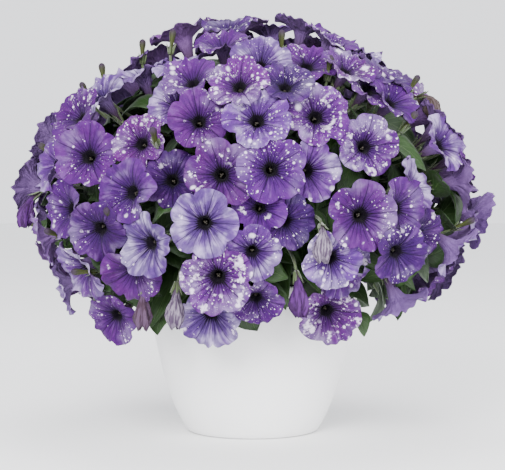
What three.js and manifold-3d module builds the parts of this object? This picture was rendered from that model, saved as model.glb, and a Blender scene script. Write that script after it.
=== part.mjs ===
// A petunia in a white bowl pot: a dome of funnel shaped blooms over a leafy plant.
// Millimetres, +Z up. The origin is the middle of the pot's base and the front faces -Y.
import * as THREE from "three";
import { mergeVertices } from "three/addons/utils/BufferGeometryUtils.js";
import Module from "manifold-3d";

const wasm = await Module();
wasm.setup();

// Pot: outer radii at heights above the table, wall and drain holes.
const POT_HEIGHT = 150;
const POT_OUTLINE = [[63, 0], [66.5, 2], [73, 13], [82.5, 37], [91, 64], [98, 97], [107, POT_HEIGHT]];
const POT_INSIDE_HEIGHTS = [13, 37, 64, 97];
const POT_WALL = 2.6;
const POT_FLOOR = 3.2;
const POT_SIDES = 24;
const DRAIN_HOLE_RADIUS = 5;
const DRAIN_HOLE_PLACE = 34;

// Soil: its level at the wall, and how far it mounds towards the middle.
const SOIL_LEVEL = 138;
const SOIL_MOUND = 5;
const SOIL_WALL_HEIGHTS = [13, 64];
const HOLE_PLAY = 2;
const HOLE_LENGTH = 40;

// Clearance between pieces that touch.
const GAP = 0.35;

// Dome of blooms: half sizes of the surface on which the petal rims lie.
const DOME = { side: 224, up: 188, down: 152, middle: 222 };
const LAYER_STEP = 9;
const BLOOM_SPACING = 52;
const BUNCH_LIMIT = 4;
const BUNCH_REACH = 1.16;
const LEAST_ALIKE_FACING = 0.55;
const LAYER_REACH = 60;
const PETAL_REACH = 0.88;
const LOWEST_BLOOM = 128;

// One bloom, for a flat limb of the usual radius. Past a place to the side its throat is plain.
const USUAL_RADIUS = 31;
const LIMB_DEPTH = 11;
const LIMB_THICKNESS = 1.0;
const NOTCH = 0.88;
const THROAT_RADIUS = 6.4;
const THROAT_DIMPLE = 12;
const PLAIN_DEPTH = 14.5;
const PLAIN_FROM = 150;
const TUBE_LENGTH = 34;
const TUBE_TOP_RADIUS = 7.8;

// Leafy middle of the plant, leaves and stems.
const CORE = { side: 118, up: 92, down: 70, middle: 232 };
const ROOT_DEPTH = 24;
const LEAF_THICKNESS = 0.9;
const LEAF_SPACING = 98;
const STALK_RADIUS = 1.5;
const CALYX_RADIUS = 3.6;
const STEM_RADIUS = 2.6;

const COLOURS = {
  violet: 0x7a4fb5,
  deep: 0x55308f,
  lilac: 0x9a86cf,
  pale: 0xb9aee0,
  speckled: 0x8a6cc4,
};

// Blooms of the front, foremost first: across, up, width, turn to the right, tip up, colour.
// Across and up are in the photograph's plane, and the depth is the dome's.
const FRONT_BLOOMS = [
  [4, 308, 62, 0, -6, "lilac"],
  [61, 314, 60, -8, -16, "speckled"],
  [97, 220, 64, -14, 0, "violet"],
  [-44, 212, 62, 6, 4, "pale"],
  [-32, 165, 66, 4, 22, "speckled"],
  [-29, 255, 64, 4, -8, "violet"],
  [17, 264, 62, 0, -10, "violet"],
  [107, 285, 58, -16, -12, "speckled"],
  [73, 121, 60, -14, 30, "deep"],
  [8, 368, 58, 0, -22, "pale"],
  [-96, 194, 60, -14, 6, "pale"],
  [-112, 294, 54, 10, -10, "speckled"],
  [128, 187, 56, -10, 4, "deep"],
  [-158, 277, 62, 34, -6, "violet"],
  [57, 252, 58, 6, -10, "lilac"],
  [134, 226, 58, 10, 0, "violet"],
  [-13, 337, 56, -8, -10, "speckled"],
  [-40, 125, 62, 0, 20, "pale"],
  [-119, 249, 60, -4, 0, "violet"],
  [-143, 207, 56, 18, -6, "deep"],
  [-110, 164, 58, 8, -6, "speckled"],
  [-50, 312, 56, 12, -14, "violet"],
  [-76, 254, 56, 12, 0, "deep"],
  [71, 181, 56, -6, 8, "lilac"],
  [33, 215, 52, 10, 0, "deep"],
  [2, 184, 52, 0, 10, "lilac"],
  [156, 246, 58, 20, 10, "pale"],
  [138, 133, 58, 40, -16, "lilac"],
  [110, 339, 56, 0, -6, "violet"],
  [53, 369, 56, 0, -8, "violet"],
  [162, 188, 56, 0, 0, "deep"],
  [-133, 119, 54, 22, 30, "speckled"],
  [-78, 330, 56, -6, -6, "lilac"],
  [-168, 314, 60, 4, 0, "violet"],
  [182, 287, 58, -6, 0, "lilac"],
  [90, 154, 58, 0, 16, "lilac"],
  [-58, 352, 56, 0, 0, "violet"],
  [88, 356, 54, 8, 0, "speckled"],
  [-186, 147, 58, -9, 22, "pale"],
  [193, 182, 58, 20, -18, "lilac"],
  [-183, 224, 58, 0, 0, "violet"],
  [8, 228, 50, 0, 6, "violet"],
  [132, 328, 56, 0, 0, "violet"],
  [30, 338, 52, 0, 0, "deep"],
  [212, 241, 60, 16, 0, "violet"],
  [226, 210, 60, 18, -8, "lilac"],
  [-208, 196, 56, -10, -10, "lilac"],
  [-194, 262, 58, -6, 0, "lilac"],
  [-225, 246, 58, -20, 4, "violet"],
  [208, 274, 56, 14, 6, "violet"],
  [187, 310, 58, 20, 10, "violet"],
  [128, 352, 54, 10, 10, "deep"],
  [-145, 334, 56, 0, 6, "pale"],
  [-75, 377, 56, 0, 10, "lilac"],
  [-30, 385, 56, 0, 6, "violet"],
  [-118, 371, 58, -10, 10, "lilac"],
  [-184, 327, 56, -10, 10, "violet"],
  [-208, 299, 58, -14, 0, "pale"],
  [5, 140, 50, 0, 10, "violet"],
  [50, 404, 58, 0, 0, "violet"],
  [-24, 402, 58, 0, 0, "deep"],
  [84, 384, 56, 10, 0, "violet"],
  [124, 368, 54, 16, 4, "violet"],
];

// Large leaves that show from the front: tip across, up, and how far in front of the axis.
const FRONT_LEAVES = [
  [-92, 130, 152],
  [-72, 136, 158],
  [-66, 150, 172],
  [-104, 222, 160],
  [28, 148, 176],
  [58, 160, 166],
  [-150, 236, 120],
  [150, 160, 120],
];

const CROWN_STEMS = 5;
const CROWN_RING = 34;
const TRAILING_STEMS = 5;
const TRAIL_RING = 68;
const TRAILING_LEAVES = 3;

/** A repeatable number from 0 to 1 for each pair of numbers. */
function chance(i, k) {
  const wave = Math.sin(i * 12.9898 + k * 78.233 + 4.1) * 43758.5453;
  return wave - Math.floor(wave);
}

/** The same from -1 to 1. */
function swing(i, k) {
  return 2 * chance(i, k) - 1;
}

function vector(x, y, z) {
  return new THREE.Vector3(x, y, z);
}

/** Point at a distance along a direction from a start. */
function along(start, direction, distance) {
  return start.clone().addScaledVector(direction, distance);
}

/** A closed solid of the joining and cutting library, from a closed triangle geometry. */
function solidOf(geometry) {
  const plain = geometry.clone();
  plain.deleteAttribute("normal");
  plain.deleteAttribute("uv");
  const merged = mergeVertices(plain, 1e-4);
  return new wasm.Manifold(new wasm.Mesh({
    numProp: 3,
    vertProperties: new Float32Array(merged.attributes.position.array),
    triVerts: new Uint32Array(merged.index.array),
  }));
}

/** A closed solid from corner points and the corner numbers of its triangles. */
function solidFrom(points, faces) {
  const geometry = new THREE.BufferGeometry().setFromPoints(points);
  geometry.setIndex(faces);
  return solidOf(geometry);
}

/** The largest body of a solid, so that no loose scrap is left. */
function largestBody(solid) {
  const bodies = solid.decompose();
  bodies.sort((a, b) => b.volume() - a.volume());
  return bodies[0];
}

function united(solids) {
  return wasm.Manifold.union(solids);
}

/** A named mesh from a finished solid. */
function meshOf(name, solid, colour, roughness) {
  const { vertProperties, triVerts } = solid.getMesh();
  const geometry = new THREE.BufferGeometry();
  geometry.setAttribute("position", new THREE.BufferAttribute(new Float32Array(vertProperties), 3));
  geometry.setIndex(new THREE.BufferAttribute(new Uint32Array(triVerts), 1));
  geometry.computeVertexNormals();
  const material = new THREE.MeshStandardMaterial({ color: colour, roughness, metalness: 0 });
  const mesh = new THREE.Mesh(geometry, material);
  mesh.name = name;
  return mesh;
}

function boxesMeet(a, b) {
  return [0, 1, 2].every((k) => a.min[k] <= b.max[k] && b.min[k] <= a.max[k]);
}

/** Pot radius at a height, straight between the points of its outline. */
function potRadius(height) {
  const above = POT_OUTLINE.findIndex((point) => point[1] >= height);
  const upper = POT_OUTLINE[Math.max(above, 1)];
  const lower = POT_OUTLINE[Math.max(above, 1) - 1];
  return THREE.MathUtils.mapLinear(height, lower[1], upper[1], lower[0], upper[0]);
}

function lathed(profile, sides) {
  const points = profile.map(([radius, height]) => new THREE.Vector2(radius, height));
  return solidOf(new THREE.LatheGeometry(points, sides).rotateX(Math.PI / 2));
}

/** An upright cylinder from a point on the axis of its foot. */
function post(foot, radius, height, sides) {
  const geometry = new THREE.CylinderGeometry(radius, radius, height, sides);
  geometry.rotateX(Math.PI / 2);
  geometry.translate(foot.x, foot.y, foot.z + height / 2);
  return solidOf(geometry);
}

/** The bowl pot: a thin wall with a rounded rim and drain holes in its floor. */
function potSolid() {
  const rim = [
    [potRadius(POT_HEIGHT) - POT_WALL / 2, POT_HEIGHT + 0.9],
    [potRadius(POT_HEIGHT) - POT_WALL, POT_HEIGHT],
  ];
  const inside = POT_INSIDE_HEIGHTS.map((height) => [potRadius(height) - POT_WALL, height]).reverse();
  const floor = [[potRadius(POT_FLOOR) - POT_WALL - 1, POT_FLOOR], [0, POT_FLOOR]];
  let pot = lathed([[0, 0], ...POT_OUTLINE, ...rim, ...inside, ...floor], POT_SIDES);
  for (let k = 0; k < 4; k += 1) {
    const angle = (k + 0.5) * Math.PI / 2;
    const place = vector(DRAIN_HOLE_PLACE * Math.cos(angle), DRAIN_HOLE_PLACE * Math.sin(angle), -1);
    pot = pot.subtract(post(place, DRAIN_HOLE_RADIUS, POT_FLOOR + 2, 10));
  }
  return pot;
}

/** The soil: a low mound with a plain hole for each stem. */
function soilSolid(stemFeet) {
  const inside = (height) => potRadius(height) - POT_WALL - GAP;
  const floor = POT_FLOOR + GAP;
  const wall = [...SOIL_WALL_HEIGHTS, SOIL_LEVEL].map((height) => [inside(height), height]);
  const profile = [
    [0, floor], [inside(floor) - 3, floor], ...wall,
    [60, SOIL_LEVEL + SOIL_MOUND * 0.7], [0, SOIL_LEVEL + SOIL_MOUND],
  ];
  let soil = lathed(profile, POT_SIDES);
  for (const foot of stemFeet) {
    soil = soil.subtract(post(vector(foot.x, foot.y, foot.z - GAP), foot.radius + HOLE_PLAY, HOLE_LENGTH, 7));
  }
  return soil;
}

/** Outward direction of the dome at a point. */
function domeNormal(point) {
  const height = point.z > DOME.middle ? DOME.up : DOME.down;
  return vector(
    point.x / DOME.side ** 2,
    point.y / DOME.side ** 2,
    (point.z - DOME.middle) / height ** 2,
  ).normalize();
}

/** A direction turned to the right about the upright, and tipped up, in degrees. */
function turned(direction, turn, tip) {
  const yaw = Math.atan2(direction.x, -direction.y) + THREE.MathUtils.degToRad(turn);
  const pitch = Math.asin(direction.z) + THREE.MathUtils.degToRad(tip);
  return vector(Math.sin(yaw) * Math.cos(pitch), -Math.cos(yaw) * Math.cos(pitch), Math.sin(pitch));
}

/** Points spread evenly over the dome, from its top down a share of its height, on a spiral. */
function domeSpiral(count, share, start) {
  const golden = Math.PI * (3 - Math.sqrt(5));
  return Array.from({ length: count }, (_, i) => {
    const level = 1 - (share * (i + 0.5)) / count;
    const flat = DOME.side * Math.sqrt(1 - level * level);
    const azimuth = i * golden + start;
    const height = level > 0 ? DOME.up : DOME.down;
    return vector(flat * Math.cos(azimuth), flat * Math.sin(azimuth), DOME.middle + height * level);
  });
}

/** A bloom seen from the front, at its place across and up. */
function frontBloom([x, z, width, turn, tip, colour]) {
  const height = z > DOME.middle ? DOME.up : DOME.down;
  const left = 1 - (x / DOME.side) ** 2 - ((z - DOME.middle) / height) ** 2;
  const rim = vector(x, -DOME.side * Math.sqrt(Math.max(left, 0)), z);
  const plain = Math.abs(x) > PLAIN_FROM;
  return { rim, facing: turned(domeNormal(rim), turn, tip), radius: width / 2, colour, plain };
}

/** Blooms of the sides, back and top, on a spiral over the dome, wherever there is room. */
function fillDome(others) {
  const blooms = [];
  const names = Object.keys(COLOURS);
  domeSpiral(520, 1.66, 0).forEach((rim, i) => {
    const free = [...others, ...blooms].every((other) => other.rim.distanceTo(rim) > BLOOM_SPACING);
    if (free && rim.z > LOWEST_BLOOM) {
      const facing = turned(domeNormal(rim), 14 * swing(i, 1), 12 * swing(i, 2));
      const colour = names[Math.floor(chance(i, 3) * names.length)];
      blooms.push({ rim, facing, radius: 32 + 3 * chance(i, 4), colour, plain: true });
    }
  });
  return blooms;
}

/** Depth of a limb's face below its rim plane, at a distance from its middle. */
function limbDrop(radius, distance) {
  return LIMB_DEPTH * (1 - distance / radius);
}

/** Turn of a bloom about its own axis that points one of its lobes at a place. */
function lobeTowards({ rim, facing }, place) {
  const [across, up] = acrossAndUp(facing);
  const way = place.clone().sub(rim);
  return Math.atan2(way.dot(up), way.dot(across));
}

/** Brings a bloom's petals against those of its neighbour, so that the two hold together. */
function drawTogether(first, second) {
  const mean = first.facing.clone().add(second.facing).normalize();
  const way = second.rim.clone().sub(first.rim);
  way.addScaledVector(mean, -way.dot(mean)).normalize();
  const reach = PETAL_REACH * (first.radius + second.radius);
  const distance = Math.min(first.rim.distanceTo(second.rim), reach);
  const t = (first.radius * distance) / (first.radius + second.radius);
  const here = -t * (first.facing.dot(way) / first.facing.dot(mean)) - limbDrop(first.radius, t);
  const back = distance - t;
  const there = back * (second.facing.dot(way) / second.facing.dot(mean)) - limbDrop(second.radius, back);
  second.rim = along(along(first.rim, way, distance), mean, here - there);
  second.spin = lobeTowards(second, first.rim);
  first.spin ??= lobeTowards(first, second.rim);
}

/** Blooms whose petals touch, in bunches. */
function bunched(blooms) {
  const bunches = [];
  const taken = new Set();
  blooms.forEach((first, i) => {
    if (taken.has(i)) {
      return;
    }
    taken.add(i);
    const bunch = [first];
    const near = blooms
      .map((bloom, j) => ({ bloom, j, apart: bloom.rim.distanceTo(first.rim) }))
      .filter(({ bloom, j, apart }) => !taken.has(j)
        && apart < BUNCH_REACH * (bloom.radius + first.radius)
        && bloom.facing.dot(first.facing) > LEAST_ALIKE_FACING)
      .sort((a, b) => a.apart - b.apart);
    for (const { bloom, j } of near.slice(0, BUNCH_LIMIT - 1)) {
      drawTogether(first, bloom);
      taken.add(j);
      bunch.push(bloom);
    }
    bunches.push({ blooms: bunch, colour: first.colour });
  });
  return bunches;
}

/** Sets each bunch in the foremost layer that no neighbouring bunch has taken. */
function layered(bunches) {
  const distance = (a, b) => Math.min(...a.blooms.flatMap((p) => b.blooms.map((q) => p.rim.distanceTo(q.rim))));
  bunches.forEach((bunch, i) => {
    const near = bunches.slice(0, i).filter((other) => distance(other, bunch) < LAYER_REACH);
    const used = near.map((other) => other.layer);
    bunch.layer = [0, 1, 2].find((layer) => !used.includes(layer)) ?? 2;
  });
  for (const bunch of bunches) {
    const normal = vector(0, 0, 0);
    bunch.blooms.forEach((bloom) => normal.add(domeNormal(bloom.rim)));
    normal.normalize();
    bunch.blooms.forEach((bloom) => {
      bloom.rim = along(bloom.rim, normal, -LAYER_STEP * bunch.layer);
    });
  }
  return bunches.sort((a, b) => a.layer - b.layer);
}

/** Two directions square to a facing, the first one level. */
function acrossAndUp(facing) {
  const level = vector(-facing.y, facing.x, 0);
  const across = level.lengthSq() > 1e-6 ? level.normalize() : vector(1, 0, 0);
  return [across, facing.clone().cross(across)];
}

/**
 * A bloom: a limb of five waved lobes, a dimpled throat and a tapering tube behind.
 * Grown by a margin on every side, it is the space that neighbours keep clear of.
 */
function bloomSolid(bloom, margin) {
  const { rim, facing, radius, seed } = bloom;
  const [across, up] = acrossAndUp(facing);
  const size = radius / USUAL_RADIUS;
  const place = (reach, angle, depth) => along(rim, facing, -depth)
    .addScaledVector(across, reach * Math.cos(angle))
    .addScaledVector(up, reach * Math.sin(angle));
  const points = [];
  const spin = bloom.spin ?? chance(seed, 5) * Math.PI;
  for (const face of [-1, 1]) {
    const shift = face * (face < 0 ? margin : LIMB_THICKNESS + margin);
    for (let k = 0; k < 10; k += 1) {
      const tip = k % 2 === 0;
      const reach = radius * (tip ? 1 : NOTCH) * (1 + 0.03 * swing(seed, k + 10)) + margin;
      const wave = size * ((tip ? 1.2 : -0.8) + 1.3 * swing(seed, k + 20));
      points.push(place(reach, spin + k * Math.PI / 5, wave + shift));
    }
    const throat = (face < 0 ? THROAT_RADIUS - margin : TUBE_TOP_RADIUS + margin) * size;
    for (let k = 0; k < 5; k += 1) {
      points.push(place(throat, spin + k * 2 * Math.PI / 5, (LIMB_DEPTH + 1) * size + shift));
    }
  }
  const dimpleDepth = bloom.plain ? PLAIN_DEPTH : LIMB_DEPTH + THROAT_DIMPLE;
  points.push(place(0, 0, dimpleDepth * size - margin));
  points.push(place(0, 0, (LIMB_DEPTH + TUBE_LENGTH) * size + margin));
  const [front, back, dimple, end] = [0, 15, 30, 31];
  const faces = [];
  for (let k = 0; k < 5; k += 1) {
    const next = (k + 1) % 5;
    const before = (2 * k + 9) % 10;
    const [tip, after] = [2 * k, 2 * k + 1];
    for (const [a, b, c] of [[10 + k, before, tip], [10 + k, tip, after], [10 + k, after, 10 + next]]) {
      if (!bloom.plain) {
        faces.push(front + a, front + b, front + c);
      }
      faces.push(back + a, back + c, back + b);
    }
    if (bloom.plain) {
      faces.push(dimple, before, tip, dimple, tip, after);
    } else {
      faces.push(front + 10 + next, dimple, front + 10 + k);
    }
    for (const [a, b] of [[before, tip], [tip, after]]) {
      faces.push(front + a, back + a, front + b, front + b, back + a, back + b);
    }
    faces.push(back + 10 + next, back + 10 + k, end);
  }
  return solidFrom(points, faces);
}

/** Middle of the tube's tip, where the flower stalk meets it. */
function tubeTip({ rim, facing, radius }) {
  return along(rim, facing, -(LIMB_DEPTH + TUBE_LENGTH) * (radius / USUAL_RADIUS));
}

/** The bunches as finished solids, each clear of those in front of it. */
function bloomSolids(bunches) {
  const finished = [];
  for (const bunch of bunches) {
    let solid = united(bunch.blooms.map((bloom) => bloomSolid(bloom, 0)));
    const space = united(bunch.blooms.map((bloom) => bloomSolid(bloom, GAP)));
    const box = space.boundingBox();
    const inFront = finished.filter((other) => boxesMeet(other.box, box)).map((other) => other.space);
    if (inFront.length > 0) {
      solid = solid.subtract(united(inFront));
    }
    finished.push({ bunch, solid: largestBody(solid).simplify(0.03), space, box });
  }
  return finished;
}

/** Where a ray from the middle of the plant leaves the leafy core. */
function coreSurface(direction) {
  const height = direction.z > 0 ? CORE.up : CORE.down;
  const reach = 1 / Math.hypot(direction.x / CORE.side, direction.y / CORE.side, direction.z / height);
  return along(vector(0, 0, CORE.middle), direction, reach);
}

/** The dense leafy middle of the plant, lumpy as packed leaves are. */
function coreSolid() {
  const geometry = new THREE.SphereGeometry(1, 11, 6).rotateX(Math.PI / 2);
  const merged = mergeVertices(geometry.deleteAttribute("normal").deleteAttribute("uv"), 1e-4);
  const position = merged.attributes.position;
  for (let i = 0; i < position.count; i += 1) {
    const direction = new THREE.Vector3().fromBufferAttribute(position, i).normalize();
    const lump = 1 + 0.07 * swing(i, 30);
    const point = coreSurface(direction);
    position.setXYZ(i, point.x * lump, point.y * lump, CORE.middle + (point.z - CORE.middle) * lump);
  }
  return solidOf(merged);
}

/** A flower stalk from deep in the core to just behind a bloom's tube, widening to its calyx. */
function flowerStalk(bloom, margin = 0) {
  const seat = along(tubeTip(bloom), bloom.facing, -GAP - 0.05);
  const inward = vector(0, 0, CORE.middle).sub(seat).normalize();
  const root = along(coreSurface(inward.clone().negate()), inward, ROOT_DEPTH);
  const [across, up] = acrossAndUp(bloom.facing);
  const ring = (middle, axis, radius) => [0, 1, 2].map((k) => {
    const angle = (k * 2 * Math.PI) / 3;
    const spoke = across.clone().multiplyScalar(Math.cos(angle)).addScaledVector(up, Math.sin(angle));
    spoke.addScaledVector(axis, -spoke.dot(axis)).normalize();
    return along(middle, spoke, radius);
  });
  const points = [
    ...ring(root, inward, STALK_RADIUS + 2 * margin),
    ...ring(seat, bloom.facing, CALYX_RADIUS + 2 * margin),
  ];
  const faces = [0, 2, 1, 3, 4, 5];
  for (let k = 0; k < 3; k += 1) {
    const next = (k + 1) % 3;
    faces.push(k, next, 3 + k, next, 3 + next, 3 + k);
  }
  return solidFrom(points, faces);
}

/** An ovate leaf: a thin blade folded along its rib, arched, with a waved edge. */
function leaf(root, tip, width, upper, seed) {
  const axis = tip.clone().sub(root);
  const length = axis.length();
  axis.normalize();
  const across = axis.clone().cross(upper).normalize();
  const top = across.clone().cross(axis).normalize();
  const at = (t, side, lift) => along(root, axis, t * length)
    .addScaledVector(across, side * width / 2)
    .addScaledVector(top, lift);
  const arch = (t) => 0.16 * length * Math.sin(Math.PI * t) ** 1.2;
  const rib = [0, 0.46, 1].map((t) => [t, 0, arch(t)]);
  const edges = [[0.28, 0.86], [0.64, 0.92]].flatMap(([t, spread], k) => [-1, 1].map((way) => {
    const lift = width * (0.12 + 0.06 * swing(seed, 2 * k + way));
    return [t, way * spread, arch(t) + lift];
  }));
  const outline = [...rib, ...edges];
  const half = outline.length;
  const points = [0, -LEAF_THICKNESS].flatMap((drop) => outline.map(([t, side, lift]) => at(t, side, lift + drop)));
  const faces = [];
  for (const [a, b, c] of [[0, 1, 3], [3, 1, 5], [5, 1, 2], [0, 4, 1], [4, 6, 1], [6, 2, 1]]) {
    faces.push(a, b, c, half + a, half + c, half + b);
  }
  const edge = [0, 3, 5, 2, 6, 4];
  edge.forEach((a, k) => {
    const b = edge[(k + 1) % edge.length];
    faces.push(a, b, half + a, b, half + b, half + a);
  });
  return solidFrom(points, faces);
}

/** Places on the dome between the blooms, at least a leaf's width from each other. */
function leafPlaces(blooms) {
  const places = [];
  for (const place of domeSpiral(700, 1.68, 1)) {
    const clear = blooms.every((bloom) => bloom.rim.distanceTo(place) > bloom.radius * 0.95);
    if (clear && places.every((other) => other.distanceTo(place) > LEAF_SPACING)) {
      places.push(place);
    }
  }
  return places;
}

/** A leaf that stands out of the core between the blooms. */
function gapLeaf(place, seed) {
  const centre = vector(0, 0, CORE.middle);
  const outward = place.clone().sub(centre).normalize();
  const root = along(coreSurface(outward), outward, -ROOT_DEPTH);
  const tip = along(place, domeNormal(place), -16 - 8 * chance(seed, 40));
  tip.z -= 10;
  const upper = vector(0.3 * swing(seed, 41), 0.3 * swing(seed, 42), 1).addScaledVector(outward, 0.5);
  return leaf(root, tip, 27 + 6 * chance(seed, 43), upper, seed);
}

/** A large leaf low at the front, its face to the viewer. */
function frontLeaf([x, z, depth], seed) {
  const tip = vector(x, -depth, z);
  const inward = vector(0, 0, CORE.middle).sub(tip).normalize();
  const root = along(coreSurface(inward.clone().negate()), inward, ROOT_DEPTH);
  return leaf(root, tip, 34, vector(0.2 * swing(seed, 44), -0.9, 0.7), seed);
}

/** Feet of the stems in the soil, evenly round a ring. */
function ringOfFeet(count, ring, depth, radius, start) {
  return Array.from({ length: count }, (_, k) => {
    const angle = ((k + start) * 2 * Math.PI) / count;
    const foot = vector(ring * Math.cos(angle), ring * Math.sin(angle), SOIL_LEVEL - depth);
    return Object.assign(foot, { radius, angle });
  });
}

/** The plant's crown: stems, core, leaves and the stalk of every bloom. */
function crownSolid(feet, blooms, trailSpace) {
  const stems = feet.map((foot) => post(foot, foot.radius, CORE.middle - CORE.down / 2 - foot.z, 5));
  const stalks = blooms.map((bloom) => flowerStalk(bloom));
  const leaves = [...leafPlaces(blooms).map(gapLeaf), ...FRONT_LEAVES.map(frontLeaf)];
  const clear = leaves.filter((blade) => blade.intersect(trailSpace).volume() < 1e-3);
  return united([coreSolid(), ...stems, ...stalks, ...clear]);
}

/** A leafy stem that rises from the soil, leans over the rim and hangs outside the pot. */
function trailingStem(foot, k) {
  const out = vector(Math.cos(foot.angle), Math.sin(foot.angle), 0);
  const side = vector(-out.y, out.x, 0);
  const bend = 10 * swing(k, 50);
  const at = (reach, sideways, height) => out.clone().multiplyScalar(reach).addScaledVector(side, sideways).setZ(height);
  const route = new THREE.CatmullRomCurve3([
    foot.clone(),
    at(TRAIL_RING, 0, SOIL_LEVEL + 9),
    at(86, bend * 0.2, POT_HEIGHT + 8),
    at(108, bend * 0.5, POT_HEIGHT + 8),
    at(127, bend * 0.8, POT_HEIGHT - 1),
    at(141, bend, POT_HEIGHT - 20),
  ]);
  const section = new THREE.Shape();
  for (let s = 0; s < 4; s += 1) {
    const angle = (s * Math.PI) / 2;
    section[s === 0 ? "moveTo" : "lineTo"](STEM_RADIUS * Math.cos(angle), STEM_RADIUS * Math.sin(angle));
  }
  section.closePath();
  const tube = new THREE.ExtrudeGeometry(section, { steps: 7, extrudePath: route, bevelEnabled: false });
  const parts = [solidOf(tube)];
  for (let n = 0; n < TRAILING_LEAVES; n += 1) {
    const place = route.getPoint(0.55 + 0.45 * (n / (TRAILING_LEAVES - 1)));
    const way = n % 2 === 0 ? 1 : -1;
    const end = along(place, side, way * (n === TRAILING_LEAVES - 1 ? 4 : 30)).addScaledVector(out, 26);
    end.z -= 16 + 8 * chance(k, 51 + n);
    parts.push(leaf(along(place, out, -1.5), end, 25, out.clone().setZ(0.8), 100 * k + n));
  }
  return united(parts);
}

const frontBlooms = FRONT_BLOOMS.map(frontBloom);
const frontBunches = bunched(frontBlooms);
const otherBlooms = fillDome(frontBlooms);
const blooms = [...frontBlooms, ...otherBlooms];
blooms.forEach((bloom, i) => {
  bloom.seed = i + 1;
});
const bunches = layered([...frontBunches, ...bunched(otherBlooms)]);
const finished = bloomSolids(bunches);
const bloomSpace = united(finished.map(({ space }) => space));

const crownFeet = ringOfFeet(CROWN_STEMS, CROWN_RING, 26, 3.2, 0.3);
const trailFeet = ringOfFeet(TRAILING_STEMS, TRAIL_RING, 24, STEM_RADIUS, 0.3);
const pot = potSolid();
const soil = soilSolid([...crownFeet, ...trailFeet]);

const taken = united([bloomSpace, ...blooms.map((bloom) => flowerStalk(bloom, GAP))]);
const trails = trailFeet.map((foot, k) => largestBody(trailingStem(foot, k).subtract(taken)).simplify(0.03));
const crown = largestBody(crownSolid(crownFeet, blooms, united(trails)).subtract(bloomSpace)).simplify(0.03);

const plant = new THREE.Group();
plant.add(meshOf("pot", pot, 0xeeeef0, 0.35));
plant.add(meshOf("soil", soil, 0x3a2a1e, 0.95));
plant.add(meshOf("crown", crown, 0x3f6b2e, 0.6));
trails.forEach((solid, k) => plant.add(meshOf(`trailing_stem_${k + 1}`, solid, 0x4a7a35, 0.6)));
finished.forEach(({ bunch, solid }, k) => {
  const name = `blooms_${String(k + 1).padStart(2, "0")}`;
  plant.add(meshOf(name, solid, COLOURS[bunch.colour], 0.55));
});

export default plant;
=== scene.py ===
import math
from functools import cache

import bpy
import numpy as np
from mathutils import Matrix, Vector


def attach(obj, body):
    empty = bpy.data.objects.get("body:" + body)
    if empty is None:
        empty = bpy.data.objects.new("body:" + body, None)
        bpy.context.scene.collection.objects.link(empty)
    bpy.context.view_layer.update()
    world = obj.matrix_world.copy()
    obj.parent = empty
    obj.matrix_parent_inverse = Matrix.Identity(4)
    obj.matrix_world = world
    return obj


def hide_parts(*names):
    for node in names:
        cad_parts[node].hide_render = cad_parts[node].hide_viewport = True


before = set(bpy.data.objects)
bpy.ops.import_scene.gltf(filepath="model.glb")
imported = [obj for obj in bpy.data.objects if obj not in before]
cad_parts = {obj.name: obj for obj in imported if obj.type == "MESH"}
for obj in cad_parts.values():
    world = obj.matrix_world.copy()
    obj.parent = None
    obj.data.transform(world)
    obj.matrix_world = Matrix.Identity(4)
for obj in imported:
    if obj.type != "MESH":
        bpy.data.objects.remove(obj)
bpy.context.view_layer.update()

bl_info = {
    "name": "Potted petunia",
    "version": (1, 0, 0),
    "blender": (4, 5, 0),
    "location": "3D View > Sidebar > Petunia",
    "description": "Dresses the packed petunia with fine petals, leaves, stems, soil and pot",
    "category": "Object",
}

# Sizes are in millimetres here, as the plant was laid out, and in metres in every mesh.
MM = 0.001
TURN = 2 * math.pi
GOLDEN = math.pi * (3 - math.sqrt(5))

# Dome of blooms, and the leafy middle inside it: half sizes sideways, up and down, and their middles.
DOME = DOME_SIDE, DOME_UP, DOME_DOWN, DOME_MIDDLE = 224, 188, 152, 222
CORE = CORE_SIDE, CORE_UP, CORE_DOWN, CORE_MIDDLE = 118, 92, 70, 232
SPIRAL_TURNS = 520
LAYER_STEP = 9
LAYER_REACH = 60
BLOOM_SPACING = 52
BUNCH_LIMIT = 4
BUNCH_REACH = 1.16
PETAL_REACH = 0.88
LOWEST_BLOOM = 128

# How far petals and leaves are kept behind the face of a bloom, and how far they are pushed at most.
PETAL_GAP, PETAL_PUSH = 1.3, 17
LEAF_GAP, LEAF_PUSH = 2.2, 24
LEAF_STALK = 0.12
LEAF_THICKNESS = 0.5
ROOT_DEPTH = 24

# One bloom, for a flat limb 62 mm across.
USUAL_RADIUS = 31
LIMB_DEPTH = 11
TUBE_LENGTH = 34
THROAT_RADIUS = 6.4
THROAT_ROOM = 7.8
RUFFLE = 0.8
NOTCH_DEPTH = 0.174
PETAL_COLUMNS = 90
PETAL_THICKNESS = 0.45
TUBE_END, TUBE_MOUTH = 2.3, 7.6
LIMB_SHARES = [0, 0.05, 0.12, 0.21, 0.31, 0.42, 0.53, 0.64, 0.74, 0.83, 0.91, 0.97, 1.0]
# Rings inside the throat: radius, and depth behind the limb.
THROAT_RINGS = [(2.2, 22), (2.5, 15), (3.2, 9), (4.4, 4), (5.6, 1.2)]

SOIL_LEVEL = 138
POT_HEIGHT = 150
POT_WALL = 2.6
POT_OUTLINE = [(66.5, 2), (73, 13), (82.5, 37), (91, 64), (98, 97), (107, POT_HEIGHT)]

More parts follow.
